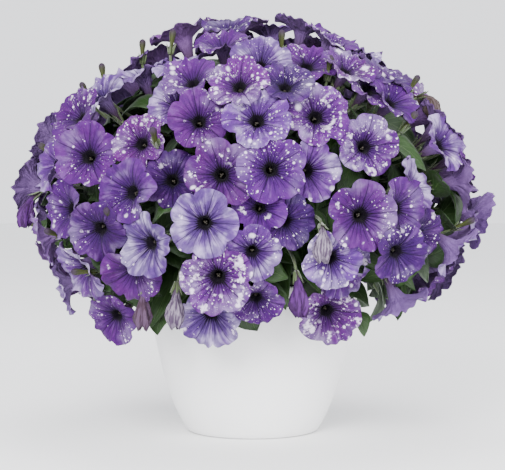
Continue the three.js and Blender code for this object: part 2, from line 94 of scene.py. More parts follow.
# Blooms of the front, foremost first: across, up, width, turn to the right, tip up, colour.
FRONT_BLOOMS = [
    (4, 308, 62, 0, -6, "lilac"), (61, 314, 60, -8, -16, "speckled"),
    (97, 220, 64, -14, 0, "violet"), (-44, 212, 62, 6, 4, "pale"),
    (-32, 165, 66, 4, 22, "speckled"), (-29, 255, 64, 4, -8, "violet"),
    (17, 264, 62, 0, -10, "violet"), (107, 285, 58, -16, -12, "speckled"),
    (73, 121, 60, -14, 30, "speckled"), (8, 368, 58, 0, -22, "pale"),
    (-96, 194, 60, -14, 6, "pale"), (-112, 294, 54, 10, -10, "speckled"),
    (128, 187, 56, -10, 4, "deep"), (-158, 277, 62, 34, -6, "violet"),
    (57, 252, 58, 6, -10, "lilac"), (134, 226, 58, 10, 0, "violet"),
    (-13, 337, 56, -8, -10, "speckled"), (-40, 125, 62, 0, 20, "pale"),
    (-119, 249, 60, -4, 0, "violet"), (-143, 207, 56, 18, -6, "deep"),
    (-110, 164, 58, 8, -6, "violet"), (-50, 312, 56, 12, -14, "violet"),
    (-76, 254, 56, 12, 0, "deep"), (71, 181, 56, -6, 8, "lilac"),
    (33, 215, 52, 10, 0, "deep"), (2, 184, 52, 0, 10, "lilac"),
    (156, 246, 58, 20, 10, "pale"), (138, 133, 58, 40, -16, "lilac"),
    (110, 339, 56, 0, -6, "violet"), (53, 369, 56, 0, -8, "violet"),
    (162, 188, 56, 0, 0, "deep"), (-133, 119, 54, 22, 30, "violet"),
    (-78, 330, 56, -6, -6, "lilac"), (-168, 314, 60, 4, 0, "violet"),
    (182, 287, 58, -6, 0, "lilac"), (90, 154, 58, 0, 16, "lilac"),
    (-58, 352, 56, 0, 0, "violet"), (88, 356, 54, 8, 0, "speckled"),
    (-186, 147, 58, -9, 22, "pale"), (193, 182, 58, 20, -18, "lilac"),
    (-183, 224, 58, 0, 0, "violet"), (8, 228, 50, 0, 6, "violet"),
    (132, 328, 56, 0, 0, "violet"), (30, 338, 52, 0, 0, "deep"),
    (212, 241, 60, 16, 0, "violet"), (226, 210, 60, 18, -8, "lilac"),
    (-208, 196, 56, -10, -10, "lilac"), (-194, 262, 58, -6, 0, "lilac"),
    (-225, 246, 58, -20, 4, "violet"), (208, 274, 56, 14, 6, "violet"),
    (187, 310, 58, 20, 10, "violet"), (128, 352, 54, 10, 10, "deep"),
    (-145, 334, 56, 0, 6, "pale"), (-75, 377, 56, 0, 10, "lilac"),
    (-30, 385, 56, 0, 6, "violet"), (-118, 371, 58, -10, 10, "lilac"),
    (-184, 327, 56, -10, 10, "violet"), (-208, 299, 58, -14, 0, "pale"),
    (5, 140, 50, 0, 10, "violet"), (50, 404, 58, 0, 0, "violet"),
    (-24, 402, 58, 0, 0, "deep"), (84, 384, 56, 10, 0, "violet"),
    (124, 368, 54, 16, 4, "violet"),
]

# How thick the white specks lie, and how much of the petal is pale, for each kind of bloom.
KINDS = {
    "violet": (0.48, 0.25),
    "deep": (0.40, 0.25),
    "lilac": (0.42, 0.9),
    "pale": (0.34, 1.0),
    "speckled": (0.85, 0.5),
}

# Buds and spent flowers that show from the front: across, up, and how brown the spent ones are.
FRONT_BUDS = [(27, 388), (-87, 296), (136, 250), (-190, 205), (149, 312), (71, 363), (208, 214),
              (-128, 226), (-165, 168)]
FRONT_SPENT = [(173, 333, 0.9), (-99, 143, 0.68), (-69, 146, 0.05), (41, 158, 0.45), (61, 206, 0.0)]

# Large leaves at the front: tip across, up, and how far in front of the axis.
FRONT_LEAVES = [(-92, 130, 152), (-72, 136, 158), (-66, 150, 172), (-104, 222, 160),
                (28, 148, 176), (58, 160, 166), (-150, 236, 120), (150, 160, 120)]
CROWN_RING, CROWN_STEMS = 34, 5
TRAIL_RING, TRAILING_STEMS = 68, 5

# The stage, in metres: each light's name, place and size, the heights that lights and camera are
# turned to, and the width that the camera takes in at the pot's axis. The sensor is in millimetres.
LIGHTS = [("key", (-0.55, -2.2, 1.25), 1.2), ("fill", (1.5, -1.4, 0.9), 1.4), ("top", (0.1, 0.2, 2.0), 1.2)]
LIGHT_AIM, CAMERA_AIM = 0.2, 0.195
FRAME_WIDTH = 0.505
SENSOR_WIDTH = 36


# Layout of the plant.

def chance(i, k):
    """A repeatable number from 0 to 1 for each pair of numbers."""
    wave = math.sin(i * 12.9898 + k * 78.233 + 4.1) * 43758.5453
    return wave - math.floor(wave)


def swing(i, k):
    """A repeatable number from -1 to 1."""
    return 2 * chance(i, k) - 1


def phase(i, k):
    """A repeatable angle, anywhere in a turn."""
    return 6.3 * chance(i, k)


def unit(v):
    return v / np.linalg.norm(v)


def dome_normal(p):
    height = DOME_UP if p[2] > DOME_MIDDLE else DOME_DOWN
    return unit(np.array([p[0] / DOME_SIDE ** 2, p[1] / DOME_SIDE ** 2, (p[2] - DOME_MIDDLE) / height ** 2]))


def point_on(shell, direction):
    """Where a direction from its middle meets the dome or the leafy middle."""
    side, up, down, middle = shell
    x, y, z = direction
    reach = 1 / math.sqrt((x / side) ** 2 + (y / side) ** 2 + (z / (up if z > 0 else down)) ** 2)
    return np.array([0, 0, middle]) + direction * reach


def front_place(x, z):
    """The point at the front of the dome that is so far across and up."""
    height = DOME_UP if z > DOME_MIDDLE else DOME_DOWN
    left = 1 - (x / DOME_SIDE) ** 2 - ((z - DOME_MIDDLE) / height) ** 2
    return np.array([x, -DOME_SIDE * math.sqrt(max(left, 0)), z], float)


def turned(direction, turn, tip):
    """A direction turned to the right about the upright, and tipped up, in degrees."""
    yaw = math.atan2(direction[0], -direction[1]) + math.radians(turn)
    pitch = math.asin(direction[2]) + math.radians(tip)
    return np.array([math.sin(yaw) * math.cos(pitch), -math.cos(yaw) * math.cos(pitch), math.sin(pitch)])


def across_and_up(facing):
    """Two directions square to a facing, the first one level."""
    level = np.array([-facing[1], facing[0], 0.0])
    across = unit(level) if level @ level > 1e-6 else np.array([1.0, 0, 0])
    return across, np.cross(facing, across)


def spokes(facing, angles):
    """Directions square to a facing, one for each angle round it."""
    across, up = across_and_up(facing)
    return np.cos(angles)[..., None] * across + np.sin(angles)[..., None] * up


def even_angles(count):
    return np.arange(count) * TURN / count


def eased(part):
    """A share from 0 to 1 that starts and ends gently."""
    return part * part * (3 - 2 * part)


class Bloom:
    """One flower: its rim's middle, the way it faces, its radius, its colour and its spin."""

    def __init__(self, rim, facing, radius, colour):
        self.rim, self.facing, self.radius, self.colour = rim, facing, radius, colour
        self.spin = None
        self.seed = 0

    @property
    def size(self):
        return self.radius / USUAL_RADIUS

    def tube_tip(self):
        return self.rim - self.facing * (LIMB_DEPTH + TUBE_LENGTH) * self.size

    def lobe(self, angles):
        """1 on the middle of each of the five lobes, and -1 between them."""
        return np.cos(5 * (angles - self.spin))

    def outline(self, angles):
        """Reach of the rim as a share of the radius: five round lobes with notches and a ragged edge."""
        notch = 1 - np.abs(np.cos(2.5 * (angles - self.spin)))
        ragged = sum(np.cos(n * angles + phase(self.seed, 60 + n)) / math.sqrt(n) for n in (6, 9, 13, 19))
        return 1.01 - NOTCH_DEPTH * notch ** 2 + 0.016 * ragged

    def reach(self, share, angles):
        """Distance of the limb's face from the bloom's axis: share 0 at the throat and 1 at the rim."""
        throat = THROAT_RADIUS * self.size
        return throat + (self.radius * self.outline(angles) - throat) * share

    def share(self, reach, angles):
        throat = THROAT_RADIUS * self.size
        return (reach - throat) / (self.radius * self.outline(angles) - throat)

    def waves(self, angles):
        """Ten waves round the rim, each of its own height."""
        knots = np.array([(1.7 if k % 2 == 0 else -1.3) + 2.1 * swing(self.seed, k + 20) for k in range(10)])
        tenth = ((angles - self.spin) % TURN) / (TURN / 10)
        low = np.floor(tenth).astype(int) % 10
        part = eased(tenth - np.floor(tenth))
        return knots[low] * (1 - part) + knots[(low + 1) % 10] * part

    def pleats(self, share, angles):
        """Grooves along the midribs, ridges between the lobes and a fine fan."""
        fifth = ((angles - self.spin) % TURN) / (TURN / 5)
        from_rib = np.abs((fifth + 0.5) % 1 - 0.5)
        groove = 1.2 * np.exp(-(from_rib / 0.09) ** 2) - 0.8 * np.exp(-((0.5 - from_rib) / 0.08) ** 2)
        fan = 0.28 * np.cos(25 * (angles - self.spin) + 1.5 * np.sin(4 * angles + self.seed))
        return 2.4 * (groove + fan - 1.1 * self.lobe(angles)) * share * (1.25 - share)

    def rolls(self, share, angles):
        """How far each lobe's rim rolls back, and how its sides twist."""
        fifth = (angles - self.spin) * 5 / TURN + 0.5
        rolls = np.array([5.4 * chance(self.seed, 130 + k) - 1.2 for k in range(5)])
        roll = rolls[np.floor(fifth % 5).astype(int) % 5] * (0.5 + 0.5 * self.lobe(angles)) * share ** 5
        twist = (1.0 + 0.7 * chance(self.seed, 83)) * math.copysign(1, swing(self.seed, 84))
        return roll + twist * (fifth % 1 * 2 - 1) ** 3 * share ** 2

    def depth(self, share, angles):
        """Depth of the limb's face behind the rim plane."""
        seed = self.seed
        slope = LIMB_DEPTH * (1 - share) ** 1.7
        ruffle = RUFFLE * sum(np.cos(n * angles + phase(seed, 70 + n)) for n in (8, 12, 17, 21))
        from_lean = angles - phase(seed, 80)
        saddle = 3.0 * swing(seed, 81) * np.cos(2 * from_lean) + 2.0 * swing(seed, 82) * np.cos(from_lean)
        bends = (self.waves(angles) + saddle) * share ** 2 + ruffle * share ** 3
        return self.size * (slope + bends + self.pleats(share, angles) + self.rolls(share, angles))

    def local(self, points):
        """Of points round the bloom: how far across, how far up, and how deep behind the rim plane."""
        across, up = across_and_up(self.facing)
        way = points - self.rim
        return way @ across, way @ up, -(way @ self.facing)

    def seen_by(self, points):
        """Of points round the bloom: share of the limb, angle, and depth behind the rim plane."""
        sideways, upwards, depth = self.local(points)
        angles = np.arctan2(upwards, sideways)
        return self.share(np.hypot(sideways, upwards), angles), angles, depth

    def tucked_behind(self, points, gap, most):
        """Points pushed back to just behind this bloom's limb, where they are in or just before it."""
        share, angles, depth = self.seen_by(points)
        push = self.depth(np.clip(share, 0, 1), angles) + gap - depth
        push = np.where((push > 0) & (push < most), push, 0) * eased(np.clip((1.12 - share) / 0.12, 0, 1))
        return points - push[..., None] * self.facing

    def clear_of_throat(self, points):
        """Points moved aside, all the same way, out of this bloom's throat."""
        sideways, upwards, depth = self.local(points)
        room = THROAT_ROOM * self.size
        level = (depth > -2) & (depth < (LIMB_DEPTH + THROAT_RINGS[0][1]) * self.size)
        if not (level & (np.hypot(sideways, upwards) < room)).any():
            return points
        away = unit(np.array([sideways.mean(), upwards.mean()]))
        along = sideways * away[0] + upwards * away[1]
        beside = upwards * away[0] - sideways * away[1]
        want = np.sqrt(np.maximum(room ** 2 - beside ** 2, 0))
        push = np.where(level & (np.abs(beside) < room) & (along < want), want - along, 0)
        across, up = across_and_up(self.facing)
        return points + push[:, None] * (away[0] * across + away[1] * up)

    def lobe_towards(self, place):
        """The angle at which a lobe points to a place."""
        sideways, upwards, _ = self.local(place)
        return math.atan2(upwards, sideways)


def apart(a, b):
    return float(np.linalg.norm(a.rim - b.rim))


def front_blooms():
    blooms = []
    for x, z, width, turn, tip, colour in FRONT_BLOOMS:
        rim = front_place(x, z)
        blooms.append(Bloom(rim, turned(dome_normal(rim), turn, tip), width / 2, colour))
    return blooms


def fill_dome(others):
    """Blooms of the sides, back and top, on a spiral over the dome, wherever there is room."""
    blooms = []
    for i in range(SPIRAL_TURNS):
        level = 1 - (1.66 * (i + 0.5)) / SPIRAL_TURNS
        flat = DOME_SIDE * math.sqrt(1 - level * level)
        height = DOME_UP if level > 0 else DOME_DOWN
        across, back = flat * math.cos(i * GOLDEN), flat * math.sin(i * GOLDEN)
        rim = np.array([across, back, DOME_MIDDLE + height * level])
        free = all(np.linalg.norm(other.rim - rim) > BLOOM_SPACING for other in others + blooms)
        if free and rim[2] > LOWEST_BLOOM:
            facing = turned(dome_normal(rim), 14 * swing(i, 1), 12 * swing(i, 2))
            colour = list(KINDS)[math.floor(chance(i, 3) * len(KINDS))]
            blooms.append(Bloom(rim, facing, 32 + 3 * chance(i, 4), colour))
    return blooms


def limb_drop(radius, distance):
    """How far a limb lies behind its rim plane at a distance from its axis, near enough."""
    return LIMB_DEPTH * (1 - distance / radius)


def draw_together(first, second):
    """Brings a bloom's petals against those of its neighbour."""
    mean = unit(first.facing + second.facing)
    way = second.rim - first.rim
    way = unit(way - mean * (way @ mean))
    total = first.radius + second.radius
    distance = min(apart(first, second), PETAL_REACH * total)
    t = first.radius * distance / total
    here = -t * (first.facing @ way) / (first.facing @ mean) - limb_drop(first.radius, t)
    back = distance - t
    there = back * (second.facing @ way) / (second.facing @ mean) - limb_drop(second.radius, back)
    second.rim = first.rim + way * distance + mean * (here - there)
    second.spin = second.lobe_towards(first.rim)
    if first.spin is None:
        first.spin = first.lobe_towards(second.rim)


def bunched(blooms):
    """Blooms whose petals touch, in bunches."""
    bunches, taken = [], set()
    for i, first in enumerate(blooms):
        if i in taken:
            continue
        taken.add(i)
        near = [(apart(bloom, first), j, bloom) for j, bloom in enumerate(blooms)
                if j not in taken and apart(bloom, first) < BUNCH_REACH * (bloom.radius + first.radius)
                and bloom.facing @ first.facing > 0.55]
        bunch = [first]
        for _, j, bloom in sorted(near, key=lambda entry: entry[0])[:BUNCH_LIMIT - 1]:
            draw_together(first, bloom)
            taken.add(j)
            bunch.append(bloom)
        bunches.append(bunch)
    return bunches


def layered(bunches):
    """Sets each bunch in the foremost layer that no neighbouring bunch has taken, and sorts by layer."""
    layers = []
    for i, bunch in enumerate(bunches):
        used = [layers[j] for j, other in enumerate(bunches[:i])
                if min(apart(p, q) for p in other for q in bunch) < LAYER_REACH]
        layers.append(next((layer for layer in (0, 1, 2) if layer not in used), 2))
    for bunch, layer in zip(bunches, layers):
        normal = unit(sum(dome_normal(bloom.rim) for bloom in bunch))
        for bloom in bunch:
            bloom.rim = bloom.rim - normal * LAYER_STEP * layer
    return [bunch for _, bunch in sorted(zip(layers, bunches), key=lambda entry: entry[0])]


def lay_out():
    """All bunches, front ones first in their layer, and all blooms."""
    front = front_blooms()
    front_bunches = bunched(front)
    others = fill_dome(front)
    blooms = front + others
    for i, bloom in enumerate(blooms):
        bloom.seed = i + 1
    bunches = layered(front_bunches + bunched(others))
    for bloom in blooms:
        if bloom.spin is None:
            bloom.spin = chance(bloom.seed, 5) * math.pi
    return bunches, blooms


BUNCHES, BLOOMS = lay_out()


# Mesh helpers.

class Shape:
    """Points, faces, face corners' UVs and per-point values, gathered before they become one mesh."""

    def __init__(self):
        self.points, self.faces, self.uvs, self.slots = [], [], [], []
        self.values = {}
        self.count = 0

    def add(self, points, faces, uvs, slot=0, **values):
        points = np.asarray(points, float).reshape(-1, 3)
        start = self.count
        self.points.append(points)
        self.count += len(points)
        self.faces += [[start + int(corner) for corner in face] for face in faces]
        self.slots += [slot] * len(faces)
        self.uvs += [corner for face in uvs for corner in face]
        for name, value in values.items():
            self.values.setdefault(name, []).append((start, self.count, value))

    def piece(self, name, materials, slot, *nodes):
        """The finished object, riding on the root body and standing for its CAD nodes."""
        mesh = bpy.data.meshes.new(name)
        mesh.from_pydata((np.concatenate(self.points) * MM).tolist(), [], self.faces)
        layer = mesh.uv_layers.new(name="Petal")
        layer.data.foreach_set("uv", np.asarray(self.uvs, np.float32).ravel())
        mesh.polygons.foreach_set("material_index", np.asarray(self.slots, np.int32))
        mesh.polygons.foreach_set("use_smooth", np.full(len(self.faces), True))
        for label, runs in self.values.items():
            data = np.zeros((self.count, np.size(runs[0][2])))
            for start, end, value in runs:
                data[start:end] = value
            kind, key = "FLOAT", "value"
            if data.shape[1] > 1:
                kind, key, data = "FLOAT_COLOR", "color", np.hstack([data, np.ones((self.count, 1))])
            mesh.attributes.new(label, kind, "POINT").data.foreach_set(key, data.ravel())
        for material in materials:
            mesh.materials.append(material)
        mesh.validate()
        mesh.update()
        thing = bpy.data.objects.new(name, mesh)
        bpy.context.scene.collection.objects.link(thing)
        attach(thing, "root")
        if nodes:
            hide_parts(*nodes)
        return thing


def ring_faces(columns, heights):
    """Quads of a tube of closed rings, with their UVs: round the ring, and the height of its row."""
    faces, uvs = [], []
    for r, (low, high) in enumerate(zip(heights, heights[1:])):
        for c in range(columns):
            here, after = r * columns + c, r * columns + (c + 1) % columns
            left, right = c / columns, (c + 1) / columns
            faces.append([here, after, after + columns, here + columns])
            uvs.append([(left, low), (right, low), (right, high), (left, high)])
    return faces, uvs


def skin_faces(columns, heights):
    """The faces of a tube of closed rings with a cap at each end, and their UVs."""
    faces, uvs = ring_faces(columns, heights)
    ring = np.arange(columns)
    faces += [ring[::-1], (len(heights) - 1) * columns + ring]
    uvs += [[(0.5, heights[0])] * columns, [(0.5, heights[-1])] * columns]
    return faces, uvs


def tube(shape, path, radii, sides, slot=0, flat=1.0, **values):
    """A closed round stem along a path, turned so that it doesn't twist."""
    path = np.asarray(path, float)
    tangents = np.gradient(path, axis=0)
    tangents /= np.linalg.norm(tangents, axis=1)[:, None]
    side = np.cross(tangents[0], [0.3, 0.2, 1.0])
    angles = even_angles(sides)
    rings = []
    for point, tangent, radius in zip(path, tangents, radii):
        side = unit(side - tangent * (side @ tangent))
        other = np.cross(tangent, side)
        around = np.cos(angles)[:, None] * side + flat * np.sin(angles)[:, None] * other
        rings.append(point + radius * around)
    faces, uvs = skin_faces(sides, np.linspace(0, 1, len(path)))
    shape.add(np.concatenate(rings), faces, uvs, slot, **values)


def lathe(shape, profile, columns):
    """A closed body of revolution from a profile that starts and ends on the axis."""
    angles = even_angles(columns)
    points = [[r * math.cos(angle), r * math.sin(angle), z] for r, z in profile[1:-1] for angle in angles]
    rows = len(profile) - 2
    faces, uvs = ring_faces(columns, np.linspace(0, 1, rows))
    first, last = rows * columns, rows * columns + 1
    for c in range(columns):
        after = (c + 1) % columns
        faces += [[first, after, c], [last, (rows - 1) * columns + c, (rows - 1) * columns + after]]
        uvs += [[(0.5, 0.0)] * 3, [(0.5, 1.0)] * 3]
    shape.add(points + [[0, 0, profile[0][1]], [0, 0, profile[-1][1]]], faces, uvs)


def bezier(a, b, c, d, count):
    t = np.linspace(0, 1, count)[:, None]
    return (1 - t) ** 3 * a + 3 * (1 - t) ** 2 * t * b + 3 * (1 - t) * t * t * c + t ** 3 * d


def smooth_path(knots, count):
    """A curve through its knots."""
    knots = np.asarray(knots)
    padded = np.vstack([2 * knots[0] - knots[1], knots, 2 * knots[-1] - knots[-2]])
    points = []
    for t in np.linspace(0, len(knots) - 1.000001, count):
        k = int(t)
        u = t - k
        a, b, c, d = padded[k:k + 4]
        squared = 2 * a - 5 * b + 4 * c - d
        cubed = 3 * b - a - 3 * c + d
        points.append(0.5 * (2 * b + (c - a) * u + squared * u ** 2 + cubed * u ** 3))
    return np.array(points)


# Shader helpers.

class Link:
    """A shader socket that takes part in Python expressions."""

    def __init__(self, tree, socket):
        self.tree, self.socket = tree, socket

    def math(self, operation, *values):
        node = self.tree.nodes.new("ShaderNodeMath")
        node.operation = operation
        for slot, value in zip(node.inputs, values):
            plug(self.tree, slot, value)
        return Link(self.tree, node.outputs[0])

    def __add__(self, other):
        return self.math("ADD", self, other)

    __radd__ = __add__

    def __sub__(self, other):
        return self.math("SUBTRACT", self, other)

    def __rsub__(self, other):
        return self.math("SUBTRACT", other, self)

    def __mul__(self, other):
        return self.math("MULTIPLY", self, other)

    __rmul__ = __mul__

    def __abs__(self):
        return self.math("ABSOLUTE", self)

    def fraction(self):
        return self.math("FRACT", self)

    def above(self, other):
        return self.math("GREATER_THAN", self, other)

    def most(self, other):
        return self.math("MAXIMUM", self, other)


def plug(tree, slot, value):
    if isinstance(value, Link):
        tree.links.new(value.socket, slot)
    else:
        slot.default_value = value


class Finish:
    """A material, its shader and the few kinds of node that the finishes are made of."""

    def __init__(self, name, **constants):
        self.material = bpy.data.materials.new(name)
        self.material.use_nodes = True
        self.tree = self.material.node_tree
        self.shader = self.tree.nodes["Principled BSDF"]
        self.where = self.node("ShaderNodeTexCoord", output="Object")
        self.use(**constants)

    def use(self, **values):
        for label, value in values.items():
            plug(self.tree, self.shader.inputs[label.replace("_", " ")], value)
        return self.material

    def node(self, kind, settings=None, values=None, output=0):
        node = self.tree.nodes.new(kind)
        for label, value in (settings or {}).items():
            setattr(node, label, value)
        for label, value in (values or {}).items():
            plug(self.tree, node.inputs[label], value)
        return Link(self.tree, node.outputs[output])

    def uv(self):
        pair = self.node("ShaderNodeUVMap", {"uv_map": "Petal"})
        return self.part(pair, 0), self.part(pair, 1)

    def part(self, vector, axis):
        return self.node("ShaderNodeSeparateXYZ", values={0: vector}, output=axis)

    def vector(self, *parts):
        return self.node("ShaderNodeCombineXYZ", values=dict(enumerate(parts)))

    def value(self, name, output="Fac"):
        return self.node("ShaderNodeAttribute", {"attribute_name": name}, output=output)

    def noise(self, scale, detail=3, where=None, roughness=0.5):
        values = {"Vector": where or self.where, "Scale": scale, "Detail": detail, "Roughness": roughness}
        return self.node("ShaderNodeTexNoise", values=values)

    def cells(self, where, scale, output="Distance"):
        return self.node("ShaderNodeTexVoronoi", values={"Vector": where, "Scale": scale}, output=output)

    def odds(self, where, scale):
        """A random number for each cell."""
        return self.node("ShaderNodeSeparateColor", values={0: self.cells(where, scale, "Color")})

    def specks(self, where, scale, reach):
        """Dots of mixed sizes, one to a cell, none where their reach is 0."""
        size = self.odds(where, scale)
        edge = size * size * reach
        return self.fade(self.cells(where, scale), edge * 0.35, edge) * reach.above(0.02)

    def smooth(self, value, low, high):
        """0 up to the low value, 1 from the high one on, and a gentle rise between them."""
        return self.node("ShaderNodeMapRange", {"interpolation_type": "SMOOTHSTEP"},
                         {"Value": value, "From Min": low, "From Max": high})

    def fade(self, value, low, high):
        return 1 - self.smooth(value, low, high)

    def mixed(self, factor, first, second):
        """A mix of two colours, by the sockets of the Mix node that are for colours."""
        return self.node("ShaderNodeMix", {"data_type": "RGBA"}, {0: factor, 6: first, 7: second}, 2)

    def bump(self, height, strength, distance):
        values = {"Height": height, "Strength": strength, "Distance": distance}
        return self.node("ShaderNodeBump", values=values)


def rgb(r, g, b):
    return (r, g, b, 1.0)


# Finishes, each made once.

def petal_veins(f, around, along):
    """Ribs, branches and fine veins that fade towards the rim, and the shadow along the ribs."""
    wobble = f.noise(70, 2)
    spread = along.most(0.0) * 0.8 + 0.2
    from_rib = abs((around * 5.0 + 0.5).fraction() - 0.5) * spread
    from_branch = abs((around * 25.0 + wobble * 0.9).fraction() - 0.5) * spread
    from_fine = abs((around * 70.0 + wobble * 2.4).fraction() - 0.5)
    rib = f.fade(from_rib, 0.003, 0.015) * (1 - f.smooth(along, 0.7, 1.05) * 0.5)
    branch = f.fade(from_branch, 0.010, 0.085) * f.fade(along, 0.30, 0.90)
    fine = f.fade(from_fine, 0.06, 0.30) * f.fade(along, 0.12, 0.66)
    return (rib * 0.95).most(branch * 0.85).most(fine * 0.6), f.fade(from_rib, 0.0, 0.06)


def petal_patches(f, around, along, front, tint, specks, tone):
    """The tint of a petal's face, with clouds, pale and shaded patches, and streaks along it: the dark
    streaks partly its own colour and partly painted shade of its folds, the light ones painted highlights.
    """
    clouds = f.smooth(f.noise(42), 0.38, 0.68)
    base = f.mixed(clouds * 0.5, tint, f.mixed(0.5, tint, rgb(0.108, 0.022, 0.185)))
    pale = f.smooth(f.noise(34) + tone * 0.10, 0.50, 0.72) * f.smooth(along, 0.22, 0.6) * front
    base = f.mixed(pale * tone * 0.8, base, rgb(0.38, 0.32, 0.51))
    shade = f.smooth(f.noise(26), 0.47, 0.62) * tone * front
    base = f.mixed(shade * 0.55, base, rgb(0.062, 0.018, 0.135))
    heart = f.fade(along, 0.0, 0.50) * front
    base = f.mixed(heart * 0.62, base, f.mixed(0.65, tint, rgb(0.020, 0.0055, 0.080)))
    # Streaks along the petal: the dark ones partly the petal's own violet streaks, partly painted shade of
    # its folds.
    rays = f.noise(1.0, 4, f.vector(around * 30.0, along * 1.7, specks * 70.0))
    dark = f.smooth(rays, 0.42, 0.62) * (0.42 + tone * 0.24) * front
    base = f.mixed(dark, base, f.mixed(0.72, tint, rgb(0.020, 0.004, 0.062)))
    # The light streaks are painted highlights.
    light = f.fade(rays, 0.30, 0.47) * (0.20 + tone * 0.34) * front
    return f.mixed(light, base, f.mixed(tone, rgb(0.10, 0.022, 0.18), rgb(0.30, 0.21, 0.42)))


def petal_specks(f, around, along, specks):
    """White stars that lie along the petal, round spots and a few blots."""
    gate = f.smooth(f.noise(36, 2) + specks * 0.5, 0.56, 0.86)
    polar = f.vector(around * 60.0, along * 9.0, specks * 40.0)
    stars = f.specks(polar, 0.8, gate * 0.46).most(f.specks(polar, 2.0, gate * 0.34))
    spots = f.specks(f.where, 190.0, gate * 0.46).most(f.specks(f.where, 98.0, gate * 0.46))
    blots = f.smooth(f.noise(75, 4, roughness=0.6) + specks * 0.15, 0.70, 0.79)
    return stars.most(blots * 0.9).most(spots) * f.smooth(along, 0.10, 0.34)


def petal_back(f, along, tint, vein):
    """The paler back of the petals, partly its own paler colour and partly painted light, and the tube,
    darker towards the calyx.
    """
    # The back made paler: partly its own colour, partly painted light in place of the light round and
    # through the petals.
    outer = f.mixed(0.50, tint, rgb(0.200, 0.125, 0.290))
    outer = f.mixed(f.fade(along, 1.35, 2.10) * 0.9, outer, rgb(0.040, 0.021, 0.030))
    return f.mixed(vein * 0.5, outer, rgb(0.034, 0.013, 0.054))


@cache
def petal_finish():
    """Petals: a velvety tint with dark veins out of a near-black throat, its own dark colour with painted
    shade deep inside it, and white specks like stars.
    """
    f = Finish("petal", Roughness=0.6, Sheen_Weight=0.02, Sheen_Roughness=0.4, Specular_IOR_Level=0.11)
    around, along = f.uv()
    tint, specks, tone = f.value("tint", "Color"), f.value("specks"), f.value("tone")
    front = f.fade(along, 1.02, 1.06)
    vein, shadow = petal_veins(f, around, along)
    dark = f.mixed(0.88, tint, rgb(0.006, 0.001, 0.018))
    base = petal_patches(f, around, along, front, tint, specks, tone)
    base = f.mixed(shadow * f.fade(along, 0.15, 0.75) * 0.55, base, dark)
    base = f.mixed(vein * 0.85, base, dark)
    base = f.mixed(petal_specks(f, around, along, specks) * front * 0.9, base, rgb(0.62, 0.53, 0.70))
    # The throat: the flower's own near-black colour, with painted shade deep inside the recess of the
    # throat.
    throat = f.fade(along - vein * 0.20 - shadow * 0.06, -0.12, 0.035)
    base = f.mixed(throat * 0.98, base, rgb(0.003, 0.0010, 0.005))
    colour = f.mixed(f.smooth(along, 1.04, 1.08), base, petal_back(f, along, tint, vein))
    folds = f.noise(1.0, 3, f.vector(around * 34.0, along * 2.6, specks * 40.0))
    crinkle = folds * 3.2 + f.noise(140, 2) * 2.0 + f.noise(520) * 0.5 - vein * 0.9
    return f.use(Base_Color=colour, Normal=f.bump(crinkle, 0.9, 0.0009))


@cache
def anther_finish():
    f = Finish("anther", Roughness=0.7)
    return f.use(Base_Color=f.mixed(f.noise(900), rgb(0.032, 0.028, 0.010), rgb(0.018, 0.012, 0.017)))


@cache
def leaf_finish():
    """Leaves: mid green with paler ribs and a faint bloom of hairs."""
    f = Finish("leaf", Roughness=0.5, Sheen_Weight=0.05, Specular_IOR_Level=0.32)
    around, along = f.uv()
    # Low shade values give a darker green; the leafy middle's 0 is painted shade.
    green = f.mixed(f.value("shade"), rgb(0.0035, 0.013, 0.0025), rgb(0.016, 0.046, 0.006))
    green = f.mixed(f.smooth(f.noise(60), 0.35, 0.7) * 0.35, green, rgb(0.009, 0.029, 0.004))
    middle = abs(around - 0.5)
    rib = f.fade(middle, 0.006, 0.03)
    slant = abs((along * 7.0 - middle * 5.0).fraction() - 0.5)
    side = f.fade(slant, 0.02, 0.09) * f.fade(middle, 0.36, 0.48)
    green = f.mixed((rib * 0.75).most(side * 0.38), green, rgb(0.036, 0.074, 0.017))
    height = side * -0.6 - rib + f.noise(500) * 0.35
    return f.use(Base_Color=green, Normal=f.bump(height, 0.6, 0.0006))


@cache
def stem_finish():
    """Stems: green, with a reddish tinge in places."""
    f = Finish("stem", Roughness=0.6, Sheen_Weight=0.3)
    green = f.mixed(f.noise(45, 2), rgb(0.024, 0.054, 0.009), rgb(0.056, 0.078, 0.020))
    green = f.mixed(f.smooth(f.noise(220, 2), 0.45, 0.75) * 0.4, green, rgb(0.060, 0.035, 0.050))
    return f.use(Base_Color=green, Normal=f.bump(f.noise(1400, 2), 0.5, 0.0003))


@cache
def bud_finish():
    """Buds: olive with darker ribs, and violet towards their tips."""
    f = Finish("bud", Roughness=0.6, Specular_IOR_Level=0.2)
    around, along = f.uv()
    ribs = abs((around * 5.0).fraction() - 0.5)
    colour = f.mixed(f.smooth(along, 0.45, 0.9), rgb(0.036, 0.045, 0.009), rgb(0.022, 0.010, 0.028))
    colour = f.mixed(f.fade(ribs, 0.05, 0.2) * 0.5, colour, rgb(0.014, 0.010, 0.012))
    return f.use(Base_Color=colour, Normal=f.bump(ribs, 0.6, 0.0008))


